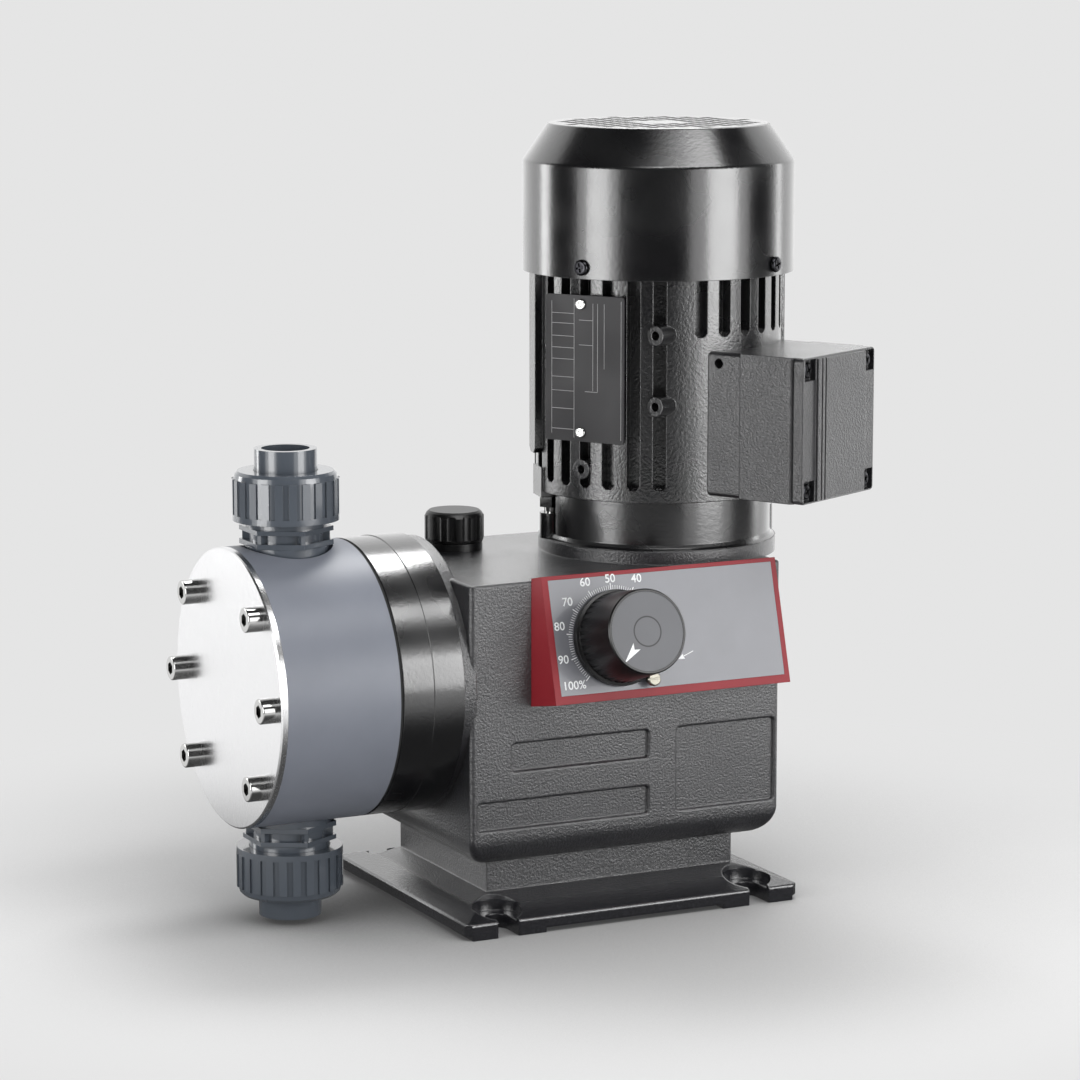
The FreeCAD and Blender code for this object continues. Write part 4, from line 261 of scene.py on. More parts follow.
@dataclass(frozen=True)
class Finish:
    """A finish: what the surface is made of and how it was made. Its lengths are in millimetres."""

    name: str
    colour: str
    roughness: float

    def material(self) -> bpy.types.Material:
        """Builds the finish's material once.

        Returns:
            The material, the same one for each call.
        """
        found = bpy.data.materials.get(self.name)
        if found:
            return found
        made = bpy.data.materials.new(self.name)
        tree = clean_tree(made)
        place = add(tree, "ShaderNodeTexCoord").outputs["Object"]
        shader = add(tree, "ShaderNodeBsdfPrincipled", {
            "Base Color": linear(self.colour), "Roughness": self.roughness, **self.surface(tree, place),
        })
        add(tree, "ShaderNodeOutputMaterial", {"Surface": shader.outputs["BSDF"]})
        made.diffuse_color = linear(self.colour)
        return made

    def surface(self, tree: Tree, place: Socket) -> dict[str, Socket | float]:
        """Makes the pattern of this kind of finish.

        Args:
            tree: the material's node tree.
            place: the Object coordinates.

        Returns:
            The Principled shader's inputs, by name.
        """
        raise NotImplementedError


@dataclass(frozen=True)
class Paint(Finish):
    """Stoved enamel or powder on a casting or a pressing: grain below, gloss above. Its colour turns paler on
    the coarse grain's peaks: the grain's tone and a painted glint.

    Below the height smooth_below the surface is machined: bump and roughness fall to smooth_share there.
    """

    grain: float = 1.6
    peel_ratio: float = 3.1
    peel: float = 0.35
    depth: float = 0.03
    cloud: float = 38.0
    cloud_span: Span = (0.35, 0.65)
    rough_spread: float = 0.06
    light: str = "#26262a"
    light_span: Span = (0.45, 0.75)
    coat: float = 1.0
    coat_roughness: float = 0.08
    level: float = 0.5
    edge: float = 0.6
    smooth_below: float = -1.0
    smooth_share: float = 0.35

    def surface(self, tree: Tree, place: Socket) -> dict[str, Socket | float]:
        """Makes roughness and bump from two sizes of grain, smoother below one height, and a colour that is
        paler on the coarse grain's peaks as a painted glint.

        Args:
            tree: the material's node tree.
            place: the Object coordinates.

        Returns:
            The Principled shader's inputs, by name.
        """
        coarse = noise(tree, place, self.grain, detail=3.0, roughness=0.55)
        fine = noise(tree, place, self.grain / self.peel_ratio)
        # Painted glint: the colour turns paler where the coarse grain, which also raises the bump, is high.
        lit = spread(tree, coarse, self.light_span)
        height = add(tree, "ShaderNodeSeparateXYZ", {0: place}).outputs["Z"]
        limits = (self.smooth_below * MM, (self.smooth_below + 1) * MM)
        cast = spread(tree, height, limits, (self.smooth_share, 1.0))
        rough = (self.roughness - self.rough_spread, self.roughness + self.rough_spread)
        wear = spread(tree, noise(tree, place, self.cloud), self.cloud_span, rough)
        skin = compute(tree, "ADD", coarse, compute(tree, "MULTIPLY", fine, self.peel))
        normal = relief(tree, skin, self.depth, self.edge, samples=6, strength=cast)
        return {
            "Base Color": blend(tree, Blend.COLOUR, lit, linear(self.colour), linear(self.light)),
            "Roughness": compute(tree, "MULTIPLY", wear, cast),
            "Normal": normal,
            "Coat Normal": normal,
            "Specular IOR Level": self.level,
            "Coat Weight": self.coat,
            "Coat Roughness": self.coat_roughness,
        }


@dataclass(frozen=True)
class Plastic(Finish):
    """Moulded or turned plastic: an even colour with faint clouds and a fine moulded grain."""

    grain: float = 0.4
    depth: float = 0.006
    cloud: float = 22.0
    cloud_span: Span = (0.3, 0.7)
    cloud_share: float = 0.04
    rough_spread: float = 0.04
    ior: float = 1.5
    coat: float = 0.0
    edge: float = 0.3

    def surface(self, tree: Tree, place: Socket) -> dict[str, Socket | float]:
        """Makes faint clouds in the colour, and the grain in roughness and bump.

        Args:
            tree: the material's node tree.
            place: the Object coordinates.

        Returns:
            The Principled shader's inputs, by name.
        """
        clouds = spread(tree, noise(tree, place, self.cloud, detail=3.0), self.cloud_span)
        grain = noise(tree, place, self.grain)
        rough = (self.roughness - self.rough_spread, self.roughness + self.rough_spread)
        return {
            "Base Color": blend(tree, Blend.COLOUR, clouds, *shades(self.colour, self.cloud_share)),
            "Roughness": spread(tree, grain, target=rough),
            "Normal": relief(tree, grain, self.depth, self.edge),
            "IOR": self.ior,
            "Coat Weight": self.coat,
        }


@dataclass(frozen=True)
class KnobFace(Plastic):
    """The knob's lacquered disc: a fine groove is turned into it about the knob's axis, drawn only as a ring
    of painted shade.
    """

    ring: float = 7.6
    ring_width: float = 0.5
    ring_colour: str = "#131315"

    def surface(self, tree: Tree, place: Socket) -> dict[str, Socket | float]:
        """Makes the lacquer's colour and grain, with painted shade in the ring of the groove.

        Args:
            tree: the material's node tree.
            place: the Object coordinates.

        Returns:
            The Principled shader's inputs, by name.
        """
        inputs = super().surface(tree, place)
        local = add(tree, "ShaderNodeMapping", {
            "Vector": place, "Location": Vector(KNOB_CENTRE) * MM,
            "Rotation": (math.radians(90 - PANEL_TILT), 0, 0),
        }, vector_type="TEXTURE").outputs["Vector"]
        flat = add(tree, "ShaderNodeVectorMath", {0: local, 1: (1, 1, 0)}, operation="MULTIPLY").outputs[0]
        reach = add(tree, "ShaderNodeVectorMath", {0: flat}, operation="LENGTH").outputs["Value"]
        off = compute(tree, "ABSOLUTE", compute(tree, "SUBTRACT", reach, self.ring * MM))
        # Painted shade: the colour darkens in a thin ring where the groove lies, while the surface stays
        # flat.
        groove_shade = spread(tree, off, (self.ring_width * MM / 2, self.ring_width * MM), (1.0, 0.0))
        tint = blend(tree, Blend.COLOUR, groove_shade, inputs["Base Color"], linear(self.ring_colour))
        return {**inputs, "Base Color": tint}


@dataclass(frozen=True)
class Metal(Finish):
    """Bare metal, with tool marks that run along one direction or show as fine blotches."""

    stretch: Triple = (1.0, 1.0, 1.0)
    mark: float = 0.5
    mark_span: Span = (0.3, 0.7)
    depth: float = 0.004
    shade: float = 0.06
    wear: float = 0.2
    edge: float = 0.3

    def surface(self, tree: Tree, place: Socket) -> dict[str, Socket | float]:
        """Makes the tool marks in colour, roughness and bump.

        Args:
            tree: the material's node tree.
            place: the Object coordinates.

        Returns:
            The Principled shader's inputs, by name.
        """
        turned = add(tree, "ShaderNodeMapping", {"Vector": place, "Scale": self.stretch}).outputs["Vector"]
        marks = noise(tree, turned, self.mark, detail=3.0, roughness=0.6)
        rough = (self.roughness * (1 - self.wear), self.roughness * (1 + self.wear))
        return {
            "Base Color": blend(tree, Blend.COLOUR, marks, *shades(self.colour, self.shade)),
            "Roughness": spread(tree, marks, self.mark_span, rough),
            "Normal": relief(tree, marks, self.depth, self.edge),
            "Metallic": 1.0,
        }


@dataclass(frozen=True)
class Glass(Finish):
    """Ground glass: clear, with a faint blotch in its polish."""

    blotch: float = 3.0
    rough_spread: float = 0.04
    ior: float = 1.52

    def surface(self, tree: Tree, place: Socket) -> dict[str, Socket | float]:
        """Makes the blotch in the roughness and lets the light through.

        Args:
            tree: the material's node tree.
            place: the Object coordinates.

        Returns:
            The Principled shader's inputs, by name.
        """
        blotch = noise(tree, place, self.blotch)
        return {
            "Roughness": spread(tree, blotch, target=(self.roughness, self.roughness + self.rough_spread)),
            "IOR": self.ior,
            "Transmission Weight": 1.0,
        }


@dataclass(frozen=True)
class Winding(Finish):
    """Varnished copper windings between laminations: fine stripes along one axis."""

    pitch: float = 1.2
    depth: float = 0.15
    gap: str = "#3a1c10"
    metallic: float = 0.7

    def surface(self, tree: Tree, place: Socket) -> dict[str, Socket | float]:
        """Makes the stripes in colour and bump.

        Args:
            tree: the material's node tree.
            place: the Object coordinates.

        Returns:
            The Principled shader's inputs, by name.
        """
        stripes = add(tree, "ShaderNodeTexWave", {
            "Vector": place, "Scale": 0.5 / (self.pitch * MM) / math.pi, "Distortion": 0.6, "Detail": 1.0,
        }, bands_direction="Z").outputs["Fac"]
        bump = add(tree, "ShaderNodeBump", {"Strength": 1.0, "Distance": self.depth * MM, "Height": stripes})
        return {
            "Base Color": blend(tree, Blend.COLOUR, stripes, linear(self.gap), linear(self.colour)),
            "Normal": bump.outputs["Normal"],
            "Metallic": self.metallic,
        }


# Each paint below has a painted glint: its second colour shows on the peaks of its grain.
# Semi-gloss structured paint over a sand casting: a fine leathery grain under a broad sheen.
CAST_BLACK = Paint("structured_paint_black", "#1e1e21", 0.36, grain=1.2, depth=0.34, peel=0.40,
                   light="#303034", coat_roughness=0.12, level=0.7, edge=1.2, smooth_below=12.5)
# Stoved gloss enamel over a machined ring, a flange and a pressed cowl: a faint orange peel.
GLOSS_BLACK = Paint("gloss_enamel_black", "#08080a", 0.26, grain=2.2, depth=0.045, peel=0.5, light="#0d0d0f",
                    coat_roughness=0.14, level=0.8, edge=0.5)
# Gloss paint over die-cast aluminium: the casting's skin shows as a soft, uneven shine.
MOTOR_BLACK = Paint("diecast_paint_black", "#09090b", 0.26, grain=1.5, depth=0.20, light="#131316",
                    level=0.8, edge=0.8)
# Textured powder over the terminal box: a leathery grain under a half gloss.
BOX_BLACK = Paint("textured_powder_black", "#141417", 0.34, grain=1.15, depth=0.36, light="#232327",
                  coat_roughness=0.12, level=0.7, edge=0.8)
# Anodised aluminium sheet of the nameplate: dead flat and half matt.
SHEET_BLACK = Paint("anodised_sheet_black", "#29282a", 0.48, grain=0.5, depth=0.004, light="#2e2d2f",
                    coat=0.0, coat_roughness=0.3, level=0.4, edge=0.2)
# Turned PVC of the dosing head: an even grey whose tool marks spread the light to a broad sheen.
PVC_GREY = Plastic("pvc_turned_grey", "#7a7e88", 0.40, grain=0.5)
# Injection moulded PVC of the valves and unions: darker, with crisp lights on ribs and edges.
PVC_DARK = Plastic("pvc_moulded_dark", "#50565e", 0.24, grain=0.6, depth=0.010, ior=1.54, coat=0.9)
# Moulded ABS of the scale frame: a full red that stays matt, so that only its tone turns at the edges.
RED = Plastic("abs_red", "#8a0e1d", 0.54, grain=0.5, depth=0.02, edge=0.6)
# Foil on the scale plate: flat grey, with a faint gloss that lets the light fade across it.
PANEL = Plastic("foil_grey", "#73747a", 0.34, grain=0.3, depth=0.002, coat=0.15)
# Moulded phenolic of the stroke knob and the vent cap: deep black, with thin lights along the flutes.
KNOB_BLACK = Plastic("phenolic_black", "#080809", 0.34, grain=0.5, depth=0.01)
# Lacquered disc on the knob: an even half matt grey around one thin ring of painted shade, where a groove is
# turned.
KNOB_GREY = KnobFace("lacquered_grey", "#5e5f63", 0.45, grain=0.25, depth=0.01)
# Screen ink of the dial and the pointer: flat white, sharp against grey.
PRINT_WHITE = Plastic("print_white", "#f2f3f4", 0.45, grain=0.2, depth=0.002, cloud_share=0.02)
# Etched lines of the nameplate, where the anodised skin is gone: pale and matt.
PRINT_GREY = Plastic("etched_grey", "#b4b3b4", 0.45, grain=0.2, depth=0.002, cloud_share=0.02)
# Moulded rubber of the membrane, seals and O-rings: dull black without a clear light.
RUBBER = Plastic("rubber_black", "#1b1b1c", 0.62, grain=0.3, depth=0.01)
# Brushed stainless steel of the front disc: near white, with fine upright strokes in its shine.
STAINLESS = Metal("brushed_stainless", "#e6e6e7", 0.24, stretch=(1.0, 1.0, 0.05), mark=0.35, depth=0.003)
# Plated steel of screws and bolts: mid grey, with sharp lights on rims and recesses.
SCREW_STEEL = Metal("screw_steel", "#7b7c7e", 0.34, mark=0.8, depth=0.003)
# Nickel-plated lock screw: a warmer tone than steel, with a worn, half matt head.
NICKEL = Metal("nickel_plated_brass", "#8d8a80", 0.42, mark=0.8)
# Blackened screws of the cowl and the terminal cover: dark heads whose rims catch the light.
BLACK_STEEL = Metal("blackened_steel", "#38383b", 0.24, mark=0.8, depth=0.003)
# Turned steel of shafts, rod and bearings: bright grey with fine tool marks.
MACHINED = Metal("turned_steel", "#b9bbbd", 0.28, mark=0.4)
# Bearing bronze of bushes and worm wheel: warm and yellowish, half dull.
BRONZE = Metal("bearing_bronze", "#b98d52", 0.32)
# Drawn spring steel: mid grey with a soft light along the wire.
SPRING = Metal("spring_steel", "#8f9193", 0.34, mark=0.4)
# Ground glass of the valve balls: clear, with a slightly veiled shine.
GLASS = Glass("ground_glass", "#f2f6f6", 0.03)
# Varnished copper of the stator core: reddish stripes between dark gaps.
COPPER = Winding("copper_winding", "#a8633a", 0.35)

SLOTS: dict[str, Finish] = {
    "cast_black": CAST_BLACK,
    "gloss_black": GLOSS_BLACK,
    "motor_black": MOTOR_BLACK,
    "pvc_grey": PVC_GREY,
    "pvc_dark": PVC_DARK,
    "red_plastic": RED,
    "panel_grey": PANEL,
    "knob_black": KNOB_BLACK,
    "knob_grey": KNOB_GREY,
    "plate_black": SHEET_BLACK,
    "rubber_black": RUBBER,
    "stainless": STAINLESS,
    "screw_steel": SCREW_STEEL,
    "machined_steel": MACHINED,
    "bronze": BRONZE,
    "spring_steel": SPRING,
    "ball_glass": GLASS,
    "copper_core": COPPER,
}


def clear_selection() -> None:
    """Leaves no object selected or active."""
    bpy.ops.object.select_all(action="DESELECT")
    bpy.context.view_layer.objects.active = None


def pick(piece: Piece) -> None:
    """Makes a piece the only one selected, and the active one."""
    clear_selection()
    piece.select_set(True)
    bpy.context.view_layer.objects.active = piece


def coat(piece: Piece, finish: Finish) -> None:
    """Gives every material slot of a piece the finish.

    Args:
        piece: the piece.
        finish: its finish.
    """
    if not piece.material_slots:
        piece.data.materials.append(finish.material())
    for slot in piece.material_slots:
        slot.material = finish.material()


def settle(piece: Piece, name: str, finish: Finish, body: Body) -> Piece:
    """Puts a finished piece's place into its mesh, and names, dresses and mounts it.

    Args:
        piece: the piece, at its place on the part.
        name: its name.
        finish: its finish.
        body: the body that carries it.

    Returns:
        The piece.
    """
    pick(piece)
    bpy.ops.object.transform_apply(location=True, rotation=True, scale=True)
    piece.name = name
    piece.data.name = name
    coat(piece, finish)
    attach(piece, body.value)
    return piece


def printed(outlines: list[list[Point]], lift: float) -> Piece:
    """Makes a thin print from flat closed outlines.

    Args:
        outlines: each outline's corners, in millimetres on the printed face.
        lift: the print's thickness, in millimetres.

    Returns:
        A mesh object that lies on the XY plane, its underside at height 0.
    """
    clear_selection()
    sheet = bpy.data.curves.new("print", "CURVE")
    sheet.dimensions = "2D"
    sheet.fill_mode = "BOTH"
    sheet.extrude = lift * MM / 2
    for corners in outlines:
        line = sheet.splines.new("POLY")
        line.points.add(len(corners) - 1)
        for point, (x, y) in zip(line.points, corners):
            point.co = (x * MM, y * MM, 0, 1)
        line.use_cyclic_u = True
    made = bpy.data.objects.new("print", sheet)
    bpy.context.collection.objects.link(made)
    pick(made)
    bpy.ops.object.convert(target="MESH")
    bpy.ops.transform.translate(value=(0, 0, lift * MM / 2))
    bpy.ops.object.transform_apply(location=True)
    return bpy.context.view_layer.objects.active


def bar(start: Point, end: Point, width: float) -> list[Point]:
    """Gives the outline of a straight line of a given width.

    Args:
        start: where the line starts.
        end: where it ends.
        width: its width.

    Returns:
        Its four corners, counterclockwise.
    """
    first, last = Vector(start), Vector(end)
    along = (last - first).normalized()
    side = Vector((along.y, -along.x)) * width / 2
    return [tuple(first + side), tuple(last + side), tuple(last - side), tuple(first - side)]


def join(parts: list[Piece]) -> Piece:
    """Joins mesh objects into the first of them.

    Args:
        parts: the objects.

    Returns:
        The joined object.
    """
    pick(parts[0])
    for part in parts:
        part.select_set(True)
    bpy.ops.object.join()
    return bpy.context.view_layer.objects.active


@dataclass(frozen=True)
class PanHead:
    """A pan head: a domed disc with a cross recess. Dome and recess are shares of its radius and height."""

    radius: float
    height: float
    turn: float
    sides: int = 36
    dome: float = 0.62
    dome_steps: int = 5
    recess_length: float = 1.15
    recess_width: float = 0.24
    recess_depth: float = 0.9
    smooth_angle: float = 35.0

    def build(self, seat: Matrix) -> Piece:
        """Makes one head.

        Args:
            seat: the frame of the head's seat, with z outwards.

        Returns:
            The head, at its place.
        """
        clear_selection()
        bpy.ops.mesh.primitive_cylinder_add(
            vertices=self.sides, radius=self.radius * MM, depth=self.height * MM,
            location=(0, 0, self.height * MM / 2),
        )
        head = bpy.context.object
        bpy.ops.object.transform_apply(location=True)
        dome = head.modifiers.new("dome", "BEVEL")
        dome.width = self.height * self.dome * MM
        dome.segments = self.dome_steps
        dome.limit_method = "ANGLE"
        bpy.ops.object.modifier_apply(modifier=dome.name)
        for turn in (self.turn, self.turn + 90):
            self.cut_slot(head, turn)
        pick(head)
        bpy.ops.object.shade_smooth_by_angle(angle=math.radians(self.smooth_angle))
        head.matrix_world = seat
        return head

    def cut_slot(self, head: Piece, turn: float) -> None:
        """Cuts one of the recess's two slots.

        Args:
            head: the head, still upright at the origin.
            turn: the slot's direction, in degrees.
        """
        clear_selection()
        bpy.ops.mesh.primitive_cube_add(size=1, location=(0, 0, self.height * MM))
        tool = bpy.context.object
        length, width = self.radius * self.recess_length, self.radius * self.recess_width
        tool.scale = (length * MM, width * MM, self.height * self.recess_depth * MM)
        tool.rotation_euler = (0, 0, math.radians(turn))
        bpy.ops.object.transform_apply(location=False, rotation=True, scale=True)
        pick(head)
        cut = head.modifiers.new("recess", "BOOLEAN")
        cut.operation = "DIFFERENCE"
        cut.solver = "EXACT"
        cut.object = tool
        bpy.ops.object.modifier_apply(modifier=cut.name)
        bpy.data.objects.remove(tool, do_unlink=True)

    def set_of(self, name: str, seats: list[Matrix], finish: Finish, node: str) -> Piece:
        """Makes all the heads of one node as one piece, which stands for it.

        Args:
            name: the piece's name.
            seats: the frames of the heads' seats.
            finish: the screws' finish.
            node: the node of the plain screws.

        Returns:
            The piece.
        """
        heads = []
        for seat in seats:
            head = self.build(seat)
            pick(head)
            bpy.ops.object.transform_apply(location=True, rotation=True, scale=True)
            heads.append(head)
        made = settle(join(heads), name, finish, Body.HOUSING)
        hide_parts(node)
        return made


@dataclass
class SubAssembly:
    """A sub-assembly: the CAD nodes that it dresses, and the pieces that it adds."""

    nodes: tuple[str, ...] = ()
    special: dict[str, Finish] = field(default_factory=dict)

    def dress(self) -> None:
        """Gives each node the finish of its slot, or its own."""
        slots = {row["node"]: row["material_slot"] for row in frame["record"]["subparts"]}
        for node in self.nodes:
            coat(frame["nodes"][node], self.special.get(node, SLOTS[slots[node]]))
            log.info("dressed %s", node)

    def build(self) -> list[Piece]:
        """Adds the pieces that only the looks need."""
        return []


@dataclass
class LiquidEnd(SubAssembly):
    """Dosing head with its disc, screws, membrane and two valves."""

    nodes: tuple[str, ...] = (
        "dosing_head", "front_disc", "head_screws", "diaphragm", "diaphragm_core",
        "discharge_valve_body", "discharge_valve_seat", "discharge_valve_ball", "discharge_o_ring",
        "discharge_union_nut", "discharge_union_socket",
        "suction_valve_body", "suction_valve_seat", "suction_valve_ball", "suction_o_ring",
        "suction_union_nut", "suction_union_socket",
    )


@dataclass
class GearUnit(SubAssembly):
    """Gear housing with its ring, cover, vent and everything that turns inside it."""

    nodes: tuple[str, ...] = (
        "gear_housing", "intermediate_ring", "bearing_cover", "bearing_cover_screws", "oil_drain_plug",
        "vent_base", "vent_cap", "push_rod", "return_spring", "guide_bush", "rod_seal",
        "eccentric_shaft", "eccentric_disc", "shaft_bearings", "worm", "worm_wheel",
    )


@dataclass
class StrokeControl(SubAssembly):
    """Tilted scale with its stroke knob, lock screw and printed dial, about the knob's centre."""

    nodes: tuple[str, ...] = (
        "scale_frame", "scale_plate", "stroke_knob", "knob_disc", "lock_screw", "adjusting_spindle",
        "spindle_bush",
    )
    special: dict[str, Finish] = field(default_factory=lambda: {"lock_screw": NICKEL})
    knob_top: float = 35.1
    lift: float = 0.06
    full_stroke: int = 100
    full_angle: float = 225.0
    percent_angle: float = 2.7
    main_every: int = 10
    tick_start: float = 25.4
    tick_end: float = 27.6
    tick_width: float = 0.28
    main_end: float = 28.8
    main_width: float = 0.55
    figure_radius: float = 32.8
    figure_height: float = 4.3
    figure_capital: float = 0.70
    figure_weight: float = 0.07
    figure_steps: int = 4
    figure_places: dict[int, Point] = field(default_factory=lambda: {
        40: (15.4, 29.9), 50: (0.2, 31.0), 60: (-14.4, 30.2), 70: (-25.8, 20.8),
        80: (-31.9, 8.6), 90: (-31.9, -8.6), 100: (-27.4, -22.2),
    })
    arrow_start: Point = (43.3, -10.3)
    arrow_end: Point = (37.4, -12.5)
    arrow_width: float = 0.45
    arrow_head: tuple[Point, ...] = ((34.0, -13.8), (38.1, -13.9), (37.2, -12.5), (37.1, -11.2))
    pointer: tuple[Point, ...] = ((9.9, -2.5), (21.6, 0.0), (9.9, 2.5), (12.2, 0.0))

    def place(self, height: float) -> Matrix:
        """Gives the frame of the panel's face, or of a plane over it.

        Args:
            height: the plane's distance over the panel's face, in millimetres.

        Returns:
            The matrix that takes x across, y up the panel and z out of it.
        """
        turn = Matrix.Rotation(math.radians(90 - PANEL_TILT), 4, "X")
        return Matrix.Translation(Vector(KNOB_CENTRE) * MM) @ turn @ Matrix.Translation((0, 0, height * MM))

    def mark(self, percent: int, reach: float) -> Point:
        """Gives a place on the scale.

        Args:
            percent: the stroke that it stands for.
            reach: its distance from the knob's axis.

        Returns:
            Its place across and up the panel.
        """
        angle = math.radians(self.full_angle - (self.full_stroke - percent) * self.percent_angle)
        return math.cos(angle) * reach, math.sin(angle) * reach

    def figure(self, percent: int) -> Piece:
        """Prints one number of the scale, centred on its place.

        Args:
            percent: the stroke that it stands for.

        Returns:
            A mesh object that lies on the XY plane.
        """
        across, up = self.figure_places.get(percent, self.mark(percent, self.figure_radius))
        clear_selection()
        bpy.ops.object.text_add(location=(across * MM, up * MM, self.lift * MM / 2))
        made = bpy.context.object
        made.data.body = f"{percent}%" if percent == self.full_stroke else str(percent)
        made.data.align_x = "CENTER"
        made.data.align_y = "CENTER"
        made.data.size = self.figure_height * MM / self.figure_capital
        made.data.extrude = self.lift * MM / 2
        made.data.offset = self.figure_weight * MM
        made.data.resolution_u = self.figure_steps
        bpy.ops.object.convert(target="MESH")
        bpy.ops.object.transform_apply(location=True)
        return bpy.context.object

    def build_dial(self) -> Piece:
        """Prints the scale's ticks and numbers and the small arrow.

        Returns:
            The print.
        """
        lines = []
        for percent in range(self.full_stroke + 1):
            main = percent % self.main_every == 0
            end, width = (self.main_end, self.main_width) if main else (self.tick_end, self.tick_width)
            lines.append(bar(self.mark(percent, self.tick_start), self.mark(percent, end), width))
        lines.append(bar(self.arrow_start, self.arrow_end, self.arrow_width))
        lines.append(list(self.arrow_head))
        shown = range(self.main_every, self.full_stroke + 1, self.main_every)
        dial = join([printed(lines, self.lift), *(self.figure(percent) for percent in shown)])
        dial.matrix_world = self.place(0)
        return settle(dial, "scale_print", PRINT_WHITE, Body.HOUSING)

    def build_pointer(self) -> Piece:
        """Prints the pointer on the knob, which stands at full stroke.

        Returns:
            The print.
        """
        along, up = self.mark(self.full_stroke, 1.0)
        turned = [(x * along - y * up, x * up + y * along) for x, y in self.pointer]
        pointer = printed([turned], self.lift)
        pointer.matrix_world = self.place(self.knob_top)
        return settle(pointer, "knob_pointer", PRINT_WHITE, Body.KNOB)

    def build(self) -> list[Piece]:
        """Prints the dial and the pointer."""
        return [self.build_dial(), self.build_pointer()]


@dataclass
class MotorUnit(SubAssembly):
    """Finned motor with its flange, cowl, nameplate and rotating parts."""

    nodes: tuple[str, ...] = (
        "motor_flange", "stator_housing", "fan_cowl", "motor_end_shield", "motor_bolts", "cowl_screws",
        "nameplate", "nameplate_screws", "stator_core", "rotor_shaft", "rotor_core", "motor_bearings",
        "shaft_seal", "fan",
    )
    plate_angle: float = -147.0
    plate_distance: float = 69.0
    plate_thickness: float = 1.0
    plate_left: float = -28.3
    plate_right: float = 18.7
    plate_low: float = 247.0
    plate_high: float = 324.0
    plate_corner: float = 1.6
    corner_steps: int = 5
    plate_rim: float = 0.2
    plate_screw: PanHead = PanHead(2.9, 1.5, turn=35.0)
    plate_screw_across: float = -7.0
    plate_screw_inset: float = 4.8
    cowl_screw: PanHead = PanHead(4.2, 2.6, turn=12.0)
    cowl_radius: float = 72.4
    cowl_screw_height: float = 338.7
    cowl_screw_angle: float = -151.0
    cowl_screw_count: int = 4
    line: float = 0.26
    line_lift: float = 0.05
    # The nameplate's ruled lines. Drops count from its upper edge: each column has its place across and its
    # lower and upper drop, each short row its left and right end and its drop, each long row its drop.
    columns: tuple[Triple, ...] = (
        (-24.6, 73.5, 3.5), (-11.1, 75.0, 2.0), (17.1, 74.8, 2.2),
        (0.2, 49.8, 4.0), (3.0, 50.0, 4.0), (7.0, 38.0, 4.0),
    )
    short_rows: tuple[Triple, ...] = ((-4.6, 3.1, 50.4), (-8.2, -0.03, 13.0), (-8.2, -0.03, 26.0))
    row_left: float = -24.6
    row_right: float = -11.1
    long_rows: tuple[float, ...] = (9.8, 15.1, 21.8, 27.9, 33.9, 43.3, 50.6, 60.0, 70.8)

    def seat(self, angle: float, reach: float, height: float = 0.0) -> Matrix:
        """Gives a frame that faces away from the motor's axis.

        Args:
            angle: its direction about the axis, in degrees.
            reach: its distance from the axis, in millimetres.
            height: its height, in millimetres.

        Returns:
            The matrix that takes x across, y up and z outwards.
        """
        turned = math.radians(angle)
        out = Vector((math.cos(turned), math.sin(turned), 0))
        across = Vector((-math.sin(turned), math.cos(turned), 0))
        turn = Matrix((across, (0, 0, 1), out)).transposed().to_4x4()
        middle = Vector((MOTOR_X, 0, height)) + out * reach
        return Matrix.Translation(middle * MM) @ turn

    def plate_plane(self, lift: float) -> Matrix:
        """Gives the frame of a plane at a distance from the nameplate's back, at height 0."""
        return self.seat(self.plate_angle, self.plate_distance + lift)

    def build_plate(self) -> Piece:
        """Makes the nameplate's sheet with its rounded corners.

        Returns:
            The sheet, which stands for the plain plate.
        """
        radius = self.plate_corner
        left, right = self.plate_left + radius, self.plate_right - radius
        low, high = self.plate_low + radius, self.plate_high - radius
        outline = []
        for x, y, start in ((right, high, 0), (left, high, 90), (left, low, 180), (right, low, 270)):
            for step in range(self.corner_steps + 1):
                angle = math.radians(start + 90 * step / self.corner_steps)
                outline.append((x + radius * math.cos(angle), y + radius * math.sin(angle)))
        sheet = printed([outline], self.plate_thickness)
        rim = sheet.modifiers.new("rim", "BEVEL")
        rim.width = self.plate_rim * MM
        rim.segments = 2
        bpy.ops.object.modifier_apply(modifier=rim.name)
        sheet.matrix_world = self.plate_plane(0)
        settle(sheet, "nameplate_sheet", SHEET_BLACK, Body.HOUSING)
        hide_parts("nameplate")
        return sheet

    def build_print(self) -> Piece:
        """Prints the empty tables and the border line on the nameplate.

        Returns:
            The print.
        """
        top = self.plate_high
        columns = [bar((x, top - low), (x, top - high), self.line) for x, low, high in self.columns]
        ends = [*self.short_rows, *((self.row_left, self.row_right, drop) for drop in self.long_rows)]
        rows = [bar((left, top - drop), (right, top - drop), self.line) for left, right, drop in ends]
        made = join([printed(columns, self.line_lift), printed(rows, self.line_lift)])
        made.matrix_world = self.plate_plane(self.plate_thickness)
        return settle(made, "nameplate_print", PRINT_GREY, Body.HOUSING)

    def build_screws(self) -> list[Piece]:
        """Makes the nameplate's and the cowl's screws.

        Returns:
            One piece for each set.
        """
        heights = (self.plate_high - self.plate_screw_inset, self.plate_low + self.plate_screw_inset)
        face = self.plate_plane(self.plate_thickness)
        on_plate = [face @ Matrix.Translation(Vector((self.plate_screw_across, z, 0)) * MM) for z in heights]
        pitch = 360 / self.cowl_screw_count
        on_cowl = [
            self.seat(self.cowl_screw_angle + pitch * k, self.cowl_radius, self.cowl_screw_height)
            for k in range(self.cowl_screw_count)
        ]
        return [
            self.plate_screw.set_of("nameplate_pan_heads", on_plate, SCREW_STEEL, "nameplate_screws"),
            self.cowl_screw.set_of("cowl_pan_heads", on_cowl, BLACK_STEEL, "cowl_screws"),
        ]

    def build(self) -> list[Piece]:
        """Makes the nameplate, its print and the screws."""
        return [self.build_plate(), self.build_print(), *self.build_screws()]


